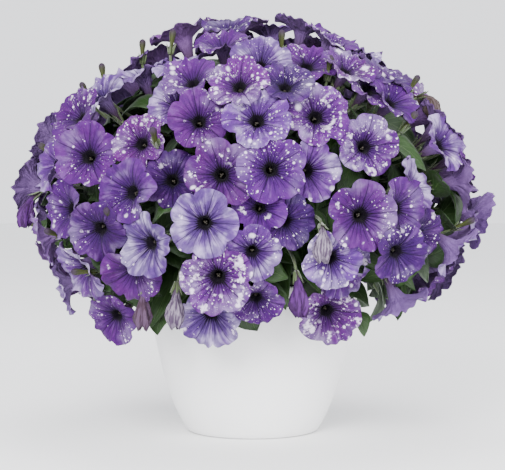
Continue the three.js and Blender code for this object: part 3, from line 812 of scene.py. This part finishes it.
@cache
def spent_finish():
    """Spent flowers: limp, wrinkled, from greyish violet to brown."""
    f = Finish("spent", Roughness=0.75, Specular_IOR_Level=0.15)
    around, along = f.uv()
    brown = f.value("brown")
    browned = f.smooth(brown, 0.5, 0.8)
    folds = f.noise(1.0, 5, f.vector(around * 30.0, along * 4.0, brown * 9.0))
    colour = f.mixed(f.smooth(brown, 0.0, 0.5), rgb(0.19, 0.155, 0.21), rgb(0.062, 0.012, 0.110))
    colour = f.mixed(browned, colour, rgb(0.074, 0.054, 0.056))
    crease = f.mixed(browned, rgb(0.024, 0.008, 0.034), rgb(0.034, 0.020, 0.016))
    colour = f.mixed(f.smooth(folds, 0.45, 0.56) * 0.8, colour, crease)
    colour = f.mixed(f.fade(along, 0.15, 0.4) * 0.7, colour, rgb(0.030, 0.026, 0.011))
    return f.use(Base_Color=colour, Normal=f.bump(folds * 3.0 + f.noise(600, 2) * 0.5, 0.9, 0.0008))


@cache
def soil_finish():
    """Potting mix: brown crumbs, and a pale grain here and there."""
    f = Finish("soil", Roughness=0.95)
    brown = f.mixed(f.noise(160, 5), rgb(0.012, 0.008, 0.005), rgb(0.075, 0.046, 0.027))
    grain = f.odds(f.where, 230).above(0.93) * f.fade(f.cells(f.where, 230), 0.08, 0.2)
    brown = f.mixed(grain, brown, rgb(0.55, 0.52, 0.46))
    return f.use(Base_Color=brown, Normal=f.bump(f.noise(260, 6), 1.0, 0.002))


@cache
def pot_finish():
    """Satin white moulded plastic, with the faintest orange peel, darker and greyer in patches towards the
    bottom.
    """
    f = Finish("pot", Specular_IOR_Level=0.35)
    # Darker and greyer in patches within 30 mm of the floor.
    low_patches = f.fade(f.part(f.where, 2), 0.0, 0.03) * f.noise(70, 4)
    colour = f.mixed(f.noise(14, 2), rgb(0.80, 0.80, 0.805), rgb(0.84, 0.84, 0.845))
    colour = f.mixed(low_patches * 0.22, colour, rgb(0.52, 0.50, 0.47))
    rough = f.noise(120) * 0.10 + 0.33
    return f.use(Base_Color=colour, Roughness=rough, Normal=f.bump(f.noise(900, 2), 0.12, 0.0002))


@cache
def floor_finish():
    f = Finish("floor", Roughness=0.7)
    return f.use(Base_Color=f.mixed(f.noise(3.0, 2), rgb(0.86, 0.86, 0.86), rgb(0.89, 0.89, 0.89)))


# Blooms.

def limb_points(bloom, shares, angles):
    """Rings of points on the face of a bloom's limb."""
    share, angle = np.meshgrid(shares, angles, indexing="ij")
    reach, depth = bloom.reach(share, angle), bloom.depth(share, angle)
    return bloom.rim + spokes(bloom.facing, angle) * reach[..., None] - depth[..., None] * bloom.facing


def how_far_behind(bloom, other):
    """Mean depth of a bloom's outer limb behind the face of another, where they overlap."""
    points = limb_points(bloom, [0.55, 0.8, 1.0], even_angles(24)).reshape(-1, 3)
    share, angles, depth = other.seen_by(points)
    inside = (share < 1) & (depth > -30) & (depth < 45)
    if not inside.any():
        return None
    return float(np.mean(depth[inside] - other.depth(np.clip(share[inside], 0, 1), angles[inside])))


def blooms_in_front(bloom):
    """The neighbours that lie over a bloom, and behind which its petals are tucked."""
    front = []
    for other in BLOOMS:
        if other is bloom or apart(bloom, other) > bloom.radius + other.radius + 8:
            continue
        behind, before = how_far_behind(bloom, other), how_far_behind(other, bloom)
        if behind is not None and behind > (before or 0):
            front.append(other)
    return front


def bloom_skin(bloom):
    """The closed skin of one bloom, ring by ring, from deep in its throat, out, round the rim and back."""
    angles = bloom.spin + even_angles(PETAL_COLUMNS)
    round_axis = spokes(bloom.facing, angles) * bloom.size

    def ring(reach, depth):
        behind = bloom.facing * (LIMB_DEPTH + depth) * bloom.size
        return bloom.rim + round_axis * np.asarray(reach).reshape(-1, 1) - behind

    inside = [ring(reach, depth) for reach, depth in THROAT_RINGS]
    face = limb_points(bloom, LIMB_SHARES, angles)
    for other in blooms_in_front(bloom):
        tucked = other.tucked_behind(face, PETAL_GAP, PETAL_PUSH).reshape(-1, 3)
        face = other.clear_of_throat(tucked).reshape(face.shape)
    back = face[:1:-1] - bloom.facing * PETAL_THICKNESS
    back[1:] -= bloom.facing * 0.25
    lobe = bloom.lobe(angles)
    outside = []
    for t in np.linspace(0, 1, 9):
        reach = TUBE_END + (TUBE_MOUTH - TUBE_END) * (1 - t) ** 1.9
        outside.append(ring(reach * (1 + 0.06 * lobe * (1 - t)), 1.6 + (TUBE_LENGTH - 1.6) * t))
    points = np.concatenate(inside + list(face) + list(back) + outside)
    heights = [*np.linspace(-1, -0.15, len(inside)), *LIMB_SHARES, 2.99]
    heights += [2 + share for share in LIMB_SHARES[-2:1:-1]] + list(np.linspace(2, 1.1, len(outside)))
    return points, heights


def add_bloom(shape, bloom, settings):
    points, heights = bloom_skin(bloom)
    faces, uvs = skin_faces(PETAL_COLUMNS, heights)
    red, green, blue = getattr(settings, bloom.colour)
    drift = 1 + 0.22 * swing(bloom.seed, 90)
    warm = 0.10 * swing(bloom.seed, 91)
    tint = np.array([red * (drift + warm), green * drift, blue * (drift - warm * 0.4)])
    specks, tone = KINDS[bloom.colour]
    shape.add(points, faces, uvs, tint=tint, specks=specks + 0.15 * swing(bloom.seed, 92), tone=tone)


def add_stamens(shape, bloom):
    """The stigma and anthers that show in the mouth of the throat."""
    size, facing = bloom.size, bloom.facing
    base = bloom.rim - facing * ((LIMB_DEPTH + 13) * size)
    outward = spokes(facing, 1.57 * np.arange(4) + phase(bloom.seed, 95))
    for out, depth, spread in zip(outward, (4.0, 5.5, 5.5, 5.5), (0.0, 1.3, 1.3, 1.3)):
        top = bloom.rim - facing * ((LIMB_DEPTH + depth) * size) + out * spread * size
        path = [base, (base + top) / 2] + [top + facing * ahead for ahead in (-1.1, -0.6, 0, 0.4)]
        tube(shape, path, [0.3, 0.3, 0.35, 0.8, 0.75, 0.3], 6, slot=1)


# Leaves, stalks, buds and stems.

@cache
def leaf_faces(rows, columns):
    """The quads of both sides of a leaf, then those of its edge, and their UVs."""
    total = rows * columns
    grid = np.arange(total).reshape(rows, columns)
    faces, uvs = [], []
    for r in range(rows - 1):
        for c in range(columns - 1):
            corners = [(r, c), (r, c + 1), (r + 1, c + 1), (r + 1, c)]
            quad = [grid[corner] for corner in corners]
            flat = [(column / (columns - 1), row / (rows - 1)) for row, column in corners]
            faces += [quad[::-1], [total + q for q in quad]]
            uvs += [flat[::-1], flat]
    border = [*grid[0], *grid[1:, -1], *grid[-1, -2::-1], *grid[-2:0:-1, 0]]
    for a, b in zip(border, border[1:] + border[:1]):
        faces.append([a, b, total + b, total + a])
        uvs.append([(0.0, 0.5)] * 4)
    return faces, uvs


def add_leaf(shape, root, tip, width, upper, seed, rows, columns, shade):
    """An ovate leaf: arched, folded along its rib, waved at its edge, on a short stalk."""
    axis = tip - root
    length = float(np.linalg.norm(axis))
    axis = axis / length
    across = unit(np.cross(axis, upper))
    top = unit(np.cross(across, axis))
    t = np.linspace(0, 1, rows)[:, None]
    s = np.linspace(-1, 1, columns)[None, :]
    blade = np.clip((t - LEAF_STALK) / (1 - LEAF_STALK), 0, 1)
    spread = np.where(t >= 1, 0.03, 0.09 + 0.91 * np.sin(np.pi * blade ** 0.8) ** 0.85)
    fold = 0.14 + 0.06 * swing(seed, 3)
    lift = 0.13 * length * np.sin(np.pi * t) + width * fold * np.abs(s) * spread
    wave = width * 0.045 * np.sin(9 * t + 3 * s + 6 * chance(seed, 4)) * s ** 2
    curl = -0.10 * length * t ** 3 * (0.5 + chance(seed, 5))
    aside, rise = s * spread * width / 2, lift + wave + curl
    points = root + axis * (t * length)[..., None] + across * aside[..., None] + top * rise[..., None]
    points = points.reshape(-1, 3)
    for bloom in BLOOMS:
        if np.linalg.norm(bloom.rim - tip) < bloom.radius + length:
            points = bloom.clear_of_throat(bloom.tucked_behind(points, LEAF_GAP, LEAF_PUSH))
    faces, uvs = leaf_faces(rows, columns)
    shape.add(np.vstack([points, points - top * LEAF_THICKNESS]), faces, uvs, shade=shade)


def spiral(count, lowest):
    """Directions spread evenly from the top down to a level."""
    for i in range(count):
        level = 1 - (1 - lowest) * (i + 0.5) / count
        flat = math.sqrt(1 - level * level)
        yield i, np.array([flat * math.cos(i * GOLDEN + 0.7), flat * math.sin(i * GOLDEN + 0.7), level])


def rooted(place):
    """Where the stalk of a leaf or flower starts in the leafy middle, and its way out from there."""
    outward = unit(place - np.array([0, 0, CORE_MIDDLE]))
    return point_on(CORE, outward) - outward * ROOT_DEPTH, outward


def add_stalk(stems, seat, facing):
    """A stalk from inside the plant to a flower, bud or spent flower."""
    root, outward = rooted(seat)
    reach = np.linalg.norm(seat - root)
    path = bezier(root, root + outward * reach * 0.5, seat - facing * reach * 0.25, seat, 9)
    tube(stems, path, np.linspace(1.9, 1.2, 9), 7)


def add_sepals(stems, seat, facing, size, seed):
    """The five narrow sepals of a calyx."""
    angles = phase(seed, 99) + (np.arange(5) + 0.5) * TURN / 5
    for k, out in enumerate(spokes(facing, angles)):
        start = seat + facing * 2.5 * size + out * 2.4 * size
        bend = (2.2 + 3.0 * chance(seed, 100 + k)) * size
        path = bezier(start, start + facing * 5 * size + out * 0.6, start + facing * 10 * size + out * 1.4,
                      start + facing * 13.5 * size + out * bend, 6)
        tube(stems, path, np.array([1.5, 1.8, 1.9, 1.7, 1.2, 0.3]) * size, 6, flat=0.35)


def add_bloom_stalk(stems, bloom):
    """The flower stalk of a bloom, with its calyx and the five sepals round the tube."""
    facing = bloom.facing
    seat = bloom.tube_tip() - facing * 0.4
    add_stalk(stems, seat, facing)
    tube(stems, [seat - facing * 1.5, seat, seat + facing * 2, seat + facing * 4.5], [1.5, 2.5, 3.1, 3.2], 8)
    add_sepals(stems, seat, facing, 1.05, bloom.seed)


def add_bud(stems, buds, place, seed):
    """A closed bud on its stalk, with its narrow sepals."""
    normal = dome_normal(place)
    facing = turned(normal, 25 * swing(seed, 120), 18 + 14 * swing(seed, 121))
    base = place + normal * 3 - facing * 25
    add_stalk(stems, base, facing)
    path = [base + facing * t for t in (0, 3, 7, 11, 15, 19, 22, 24, 25)]
    tube(buds, path, [1.2, 1.9, 2.0, 1.9, 2.4, 3.2, 3.3, 2.3, 0.6], 12)
    add_sepals(stems, base - facing * 1.5, facing, 0.78, seed)


def add_spent(stems, spent, place, brown, seed):
    """A spent flower that hangs limp and crumpled from its calyx."""
    rows, sides = 14, 26
    facing = turned(dome_normal(place), 30 * swing(seed, 122), -20 + 12 * swing(seed, 123))
    base = place - facing * 16
    add_stalk(stems, base, facing)
    bend, end = np.array([0, 0, -4.0]), np.array([0, 0, -23.0])
    path = bezier(base, base + facing * 11, base + facing * 16 + bend, base + facing * 18 + end, rows)
    radii = np.interp(np.linspace(0, 1, rows), [0, 0.2, 0.45, 0.7, 0.88, 1], [1.7, 2.2, 3.4, 6.4, 7.6, 4.4])
    tube(spent, path, radii, sides, brown=brown)
    points = spent.points[-1]
    middles = np.repeat(path, sides, axis=0)
    row, side = np.repeat(np.arange(rows), sides), np.tile(np.arange(sides), rows)
    limp = row / (rows - 1)
    crumple = 1 + 0.40 * np.sin(side * 1.21 + row * 0.35 + seed) * limp + 0.10 * np.sin(side * 2.9 + row)
    points[:] = middles + (points - middles) * crumple[:, None]
    points[:, 2] += 3.2 * np.sin(side * 0.97 + seed) * limp ** 3
    add_sepals(stems, base - facing * 1.5, facing, 0.85, seed)


def nearest_bloom(place):
    return min(float(np.linalg.norm(bloom.rim - place)) for bloom in BLOOMS)


def free_places(count, clear):
    """Places on the dome's sides and back, clear of every bloom's middle."""
    for i, direction in spiral(count, -0.6):
        place = point_on(DOME, direction)
        if place[1] > -60 and place[2] > 165 and nearest_bloom(place) > clear:
            yield i, place


def in_pot(point, above, reach):
    """Whether a point is less than so far above the pot's rim, and nearer the axis than a reach."""
    return point[2] < POT_HEIGHT + above and math.hypot(point[0], point[1]) < reach


def add_gap_leaves(shapes, count):
    """Leaves packed under the blooms, with their tips out between them."""
    for i, direction in spiral(count, -0.72):
        surface = point_on(DOME, direction)
        open_place = nearest_bloom(surface) > 33 and surface[2] < 270
        below = 12 if open_place else 30 + 26 * chance(i, 110)
        below += 36 if i % 4 == 3 else 0
        tip = surface - dome_normal(surface) * below
        sideways = unit(np.cross(direction, [0.1, 0.2, 1.0]))
        other = np.cross(direction, sideways)
        angle = phase(i, 111)
        drift = math.cos(angle) * sideways + math.sin(angle) * other
        axis = unit(direction * (0.55 + 0.4 * chance(i, 112)) + drift * 0.75 + np.array([0, 0, -0.15]))
        root = tip - axis * (46 + 26 * chance(i, 113))
        upper = unit(direction + 0.5 * np.array([swing(i, 114), swing(i, 115), 1.0]))
        if in_pot(tip, 4, 118) or in_pot(root, 6, 116):
            continue
        sector = int((math.atan2(direction[1], direction[0]) + math.pi) / (math.pi / 2)) % 4
        width, shade = 26 + 12 * chance(i, 116), 0.25 + 0.6 * chance(i, 117)
        add_leaf(shapes[sector], root, tip, width, upper, i, 8, 6, shade)


def add_front_leaves(shapes):
    """The large leaves that show from the front."""
    for k, (x, z, depth) in enumerate(FRONT_LEAVES):
        tip = np.array([x, -depth, z], float)
        upper = unit(np.array([0.2 * swing(k, 44), -0.9, 0.7]))
        add_leaf(shapes[0 if x < 0 else 1], rooted(tip)[0], tip, 34, upper, k, 18, 12, 0.7)


def add_leafy_middle(shape):
    """The tangle deep inside the crown, behind every leaf, as one lumpy body in the darkest leaf green:
    painted shade.
    """
    rows, columns = 36, 64
    levels = np.linspace(-0.5, 0.5, rows + 2)[1:-1] * math.pi
    level, angle = np.meshgrid(levels, even_angles(columns), indexing="ij")
    lumps = 0.05 * np.sin(7 * angle + 3 * np.sin(5 * level)) + 0.04 * np.sin(4 * angle + 13 * level)
    reach = 0.80 + lumps * np.cos(level)
    flat = CORE_SIDE * reach * np.cos(level)
    height = CORE_MIDDLE + np.where(level > 0, CORE_UP, CORE_DOWN) * reach * np.sin(level)
    faces, _ = skin_faces(columns, levels)
    uvs = [[(0.05, 0.5)] * len(face) for face in faces]
    # Shade 0: the darkest leaf green, painted shade.
    shape.add(np.stack([flat * np.cos(angle), flat * np.sin(angle), height], -1), faces, uvs, shade=0.0)


def add_crown_stems(stems):
    """The upright stems, from the soil into the leafy middle."""
    for k in range(CROWN_STEMS):
        angle = (k + 0.3) * TURN / CROWN_STEMS
        x, y = CROWN_RING * math.cos(angle), CROWN_RING * math.sin(angle)
        path = [(x, y, SOIL_LEVEL - 26 + height) for height in np.linspace(0, 120, 12)]
        tube(stems, path, np.linspace(3.2, 2.6, 12), 9)


def add_trailing_stem(stems, leaves, k):
    """A stem that leaves the soil, bends over the rim and carries five leaves."""
    angle = (k + 0.3) * TURN / TRAILING_STEMS
    out = np.array([math.cos(angle), math.sin(angle), 0])
    side = np.array([-out[1], out[0], 0])
    bend = 10 * swing(k, 50)
    knots = [out * reach + side * bend * share + np.array([0, 0, height]) for reach, share, height in (
        (TRAIL_RING, 0, SOIL_LEVEL - 24), (TRAIL_RING, 0, SOIL_LEVEL + 9), (86, 0.2, POT_HEIGHT + 8),
        (108, 0.5, POT_HEIGHT + 8), (127, 0.8, POT_HEIGHT - 1), (141, 1, POT_HEIGHT - 20))]
    path = smooth_path(knots, 30)
    tube(stems, path, np.linspace(2.5, 1.7, 30), 8)
    for n in range(5):
        place = path[int(14 + 15 * n / 4)]
        way = 1 if n % 2 == 0 else -1
        end = place + side * way * (4 if n == 4 else 30) + out * 24
        end = end - np.array([0, 0, 16 + 8 * chance(k, 51 + n)])
        add_leaf(leaves, place, end, 25, unit(out + np.array([0, 0, 0.8])), 100 * k + n, 12, 9, 0.75)


# Operators.

def tint(name, default):
    return bpy.props.FloatVectorProperty(
        name=name, description="Petal colour of this kind of bloom", default=default, subtype="COLOR")


class PetuniaSettings(bpy.types.PropertyGroup):
    """What a user may change."""

    violet: tint("Violet", (0.046, 0.0034, 0.086))
    deep: tint("Deep", (0.021, 0.0020, 0.048))
    lilac: tint("Lilac", (0.076, 0.019, 0.148))
    pale: tint("Pale", (0.088, 0.040, 0.165))
    speckled: tint("Speckled", (0.069, 0.0062, 0.108))
    leaf_count: bpy.props.IntProperty(
        name="Leaves", description="How many leaves are packed under the blooms", default=560, min=0)
    sky: bpy.props.FloatProperty(
        name="Studio walls", description="Brightness of the pale studio all round", default=1.9, min=0.0)
    key_power: bpy.props.FloatProperty(
        name="Key light", description="Strength of the light at the front left", default=118.0, unit="POWER")
    fill_power: bpy.props.FloatProperty(
        name="Fill light", description="Strength of the light at the right", default=42.0, unit="POWER")
    top_power: bpy.props.FloatProperty(
        name="Top light", description="Strength of the light overhead", default=16.8, unit="POWER")
    camera_distance: bpy.props.FloatProperty(
        name="Camera distance", description="From the pot's axis to the camera", default=1.6, unit="LENGTH")
    camera_height: bpy.props.FloatProperty(
        name="Camera height", description="Of the camera above the table", default=0.262, unit="LENGTH")


class PETUNIA_OT_pot(bpy.types.Operator):
    """The white bowl pot, turned smooth"""

    bl_idname = "petunia.pot"
    bl_label = "Pot"

    def execute(self, context):
        radii, heights = zip(*POT_OUTLINE)
        curve = np.polyfit(heights, radii, 4)
        outer = [(np.polyval(curve, h), h) for h in np.linspace(heights[0], heights[-1], 28)]
        rim = [(106.6, POT_HEIGHT + 0.55), (105.7, POT_HEIGHT + 0.9), (104.8, POT_HEIGHT + 0.5)]
        inner = [(r - POT_WALL, h) for r, h in reversed(outer) if 6 < h < POT_HEIGHT - 1]
        foot = [(0, 0), (40, 0), (61.5, 0), (63.6, 0.25), (65.3, 1.0)]
        floor = [(58, 3.6), (50, 3.2), (0, 3.2)]
        shape = Shape()
        lathe(shape, foot + outer + rim + inner + floor, 128)
        shape.piece("pot_moulded", [pot_finish()], "pot", "pot")
        return {"FINISHED"}


class PETUNIA_OT_soil(bpy.types.Operator):
    """The potting mix, with a crumbly top"""

    bl_idname = "petunia.soil"
    bl_label = "Soil"

    def execute(self, context):
        profile = [(0, 3.7), (60, 3.7), (70, 16), (86, 60), (95, 97), (101.2, SOIL_LEVEL - 1)]
        profile += [(r, SOIL_LEVEL + 4.6 * (1 - r / 101) + 0.1) for r in range(100, 2, -3)]
        shape = Shape()
        lathe(shape, profile + [(0, SOIL_LEVEL + 5)], 120)
        points = shape.points[0]
        top = points[:, 2] > SOIL_LEVEL - 0.5
        x, y, _ = points[top].T
        points[top, 2] += 1.3 * np.sin(x * 0.55 + 2 * np.sin(y * 0.4)) * np.sin(y * 0.6 + x * 0.21) - 0.6
        shape.piece("soil_crumbs", [soil_finish()], "soil", "soil")
        return {"FINISHED"}


class PETUNIA_OT_blooms(bpy.types.Operator):
    """Every bunch of blooms, petal by petal"""

    bl_idname = "petunia.blooms"
    bl_label = "Blooms"

    def execute(self, context):
        for number, bunch in enumerate(BUNCHES, 1):
            shape = Shape()
            for bloom in bunch:
                add_bloom(shape, bloom, context.scene.petunia)
                add_stamens(shape, bloom)
            name, slot = f"petals_{number:02d}", f"petal_{bunch[0].colour}"
            shape.piece(name, [petal_finish(), anther_finish()], slot, f"blooms_{number:02d}")
        return {"FINISHED"}


class PETUNIA_OT_crown(bpy.types.Operator):
    """The upright plant: stems, flower stalks, calyxes and leaves"""

    bl_idname = "petunia.crown"
    bl_label = "Crown"

    def execute(self, context):
        stems, middle = Shape(), Shape()
        for bloom in BLOOMS:
            add_bloom_stalk(stems, bloom)
        add_crown_stems(stems)
        stems.piece("crown_stems", [stem_finish()], "foliage", "crown")
        add_leafy_middle(middle)
        middle.piece("crown_middle", [leaf_finish()], "foliage", "crown")
        sides = {side: Shape() for side in ("front_left", "front_right", "back_right", "back_left")}
        add_gap_leaves(list(sides.values()), context.scene.petunia.leaf_count)
        add_front_leaves(list(sides.values()))
        for side, shape in sides.items():
            shape.piece(f"crown_leaves_{side}", [leaf_finish()], "foliage", "crown")
        return {"FINISHED"}


class PETUNIA_OT_buds(bpy.types.Operator):
    """Buds about to open, and spent flowers"""

    bl_idname = "petunia.buds"
    bl_label = "Buds and spent flowers"

    def execute(self, context):
        stems, buds, spent = Shape(), Shape(), Shape()
        for k, (x, z) in enumerate(FRONT_BUDS):
            add_bud(stems, buds, front_place(x, z), 300 + k)
        for k, (x, z, brown) in enumerate(FRONT_SPENT):
            add_spent(stems, spent, front_place(x, z), brown, 330 + k)
        for i, place in free_places(220, 33):
            if i % 3 == 0:
                add_spent(stems, spent, place, chance(i, 124), 400 + i)
            else:
                add_bud(stems, buds, place, 400 + i)
        stems.piece("bud_stalks", [stem_finish()], "foliage")
        buds.piece("buds", [bud_finish()], "foliage")
        spent.piece("spent_flowers", [spent_finish()], "petal_deep")
        return {"FINISHED"}


class PETUNIA_OT_trailing_stems(bpy.types.Operator):
    """The leafy stems that hang over the rim"""

    bl_idname = "petunia.trailing_stems"
    bl_label = "Trailing stems"

    def execute(self, context):
        for k in range(TRAILING_STEMS):
            stems, leaves = Shape(), Shape()
            add_trailing_stem(stems, leaves, k)
            stems.piece(f"trailing_stalk_{k + 1}", [stem_finish()], "foliage", f"trailing_stem_{k + 1}")
            leaves.piece(f"trailing_leaves_{k + 1}", [leaf_finish()], "foliage", f"trailing_stem_{k + 1}")
        return {"FINISHED"}


class PETUNIA_OT_stage(bpy.types.Operator):
    """Pale floor, soft lights and the camera"""

    bl_idname = "petunia.stage"
    bl_label = "Stage"

    def execute(self, context):
        self.floor(context)
        self.studio(context)
        for name, place, size in LIGHTS:
            self.light(context, name, place, size)
        self.camera(context)
        return {"FINISHED"}

    def floor(self, context):
        mesh = bpy.data.meshes.new("floor")
        mesh.from_pydata([(-6, -6, 0), (6, -6, 0), (6, 6, 0), (-6, 6, 0)], [], [(0, 1, 2, 3)])
        mesh.materials.append(floor_finish())
        floor = bpy.data.objects.new("floor", mesh)
        context.scene.collection.objects.link(floor)

    def studio(self, context):
        world = bpy.data.worlds.new("studio")
        world.use_nodes = True
        background = world.node_tree.nodes["Background"].inputs
        background["Color"].default_value = rgb(0.95, 0.96, 1.0)
        background["Strength"].default_value = context.scene.petunia.sky
        context.scene.world = world

    def light(self, context, name, place, size):
        data = bpy.data.lights.new(name, "AREA")
        data.shape, data.size = "DISK", size
        data.energy = getattr(context.scene.petunia, f"{name}_power")
        self.aimed(context, data, place, LIGHT_AIM)

    def camera(self, context):
        settings = context.scene.petunia
        data = bpy.data.cameras.new("camera")
        data.sensor_width = SENSOR_WIDTH
        data.lens = SENSOR_WIDTH * settings.camera_distance / FRAME_WIDTH
        place = (0, -settings.camera_distance, settings.camera_height)
        context.scene.camera = self.aimed(context, data, place, CAMERA_AIM)

    def aimed(self, context, data, place, height):
        """A light or camera at its place, turned to a height on the pot's axis."""
        thing = bpy.data.objects.new(data.name, data)
        thing.location = place
        way = Vector((0, 0, height)) - Vector(place)
        thing.rotation_euler = way.to_track_quat("-Z", "Y").to_euler()
        context.scene.collection.objects.link(thing)
        return thing


class PETUNIA_PT_panel(bpy.types.Panel):
    """Lists what the add-on makes"""

    bl_idname = "PETUNIA_PT_panel"
    bl_label = "Petunia"
    bl_space_type = "VIEW_3D"
    bl_region_type = "UI"
    bl_category = "Petunia"

    def draw(self, context):
        for name in PetuniaSettings.__annotations__:
            self.layout.prop(context.scene.petunia, name)
        for operator in OPERATORS:
            self.layout.operator(operator.bl_idname)


OPERATORS = (PETUNIA_OT_pot, PETUNIA_OT_soil, PETUNIA_OT_blooms, PETUNIA_OT_crown,
             PETUNIA_OT_buds, PETUNIA_OT_trailing_stems, PETUNIA_OT_stage)
CLASSES = (PetuniaSettings,) + OPERATORS + (PETUNIA_PT_panel,)


def register():
    for cls in CLASSES:
        bpy.utils.register_class(cls)
    bpy.types.Scene.petunia = bpy.props.PointerProperty(type=PetuniaSettings)


def unregister():
    del bpy.types.Scene.petunia
    for cls in reversed(CLASSES):
        bpy.utils.unregister_class(cls)


def main():
    register()
    bpy.ops.petunia.pot()
    bpy.ops.petunia.soil()
    bpy.ops.petunia.blooms()
    bpy.ops.petunia.crown()
    bpy.ops.petunia.buds()
    bpy.ops.petunia.trailing_stems()
    bpy.ops.petunia.stage()


if __name__ == "__main__":
    main()
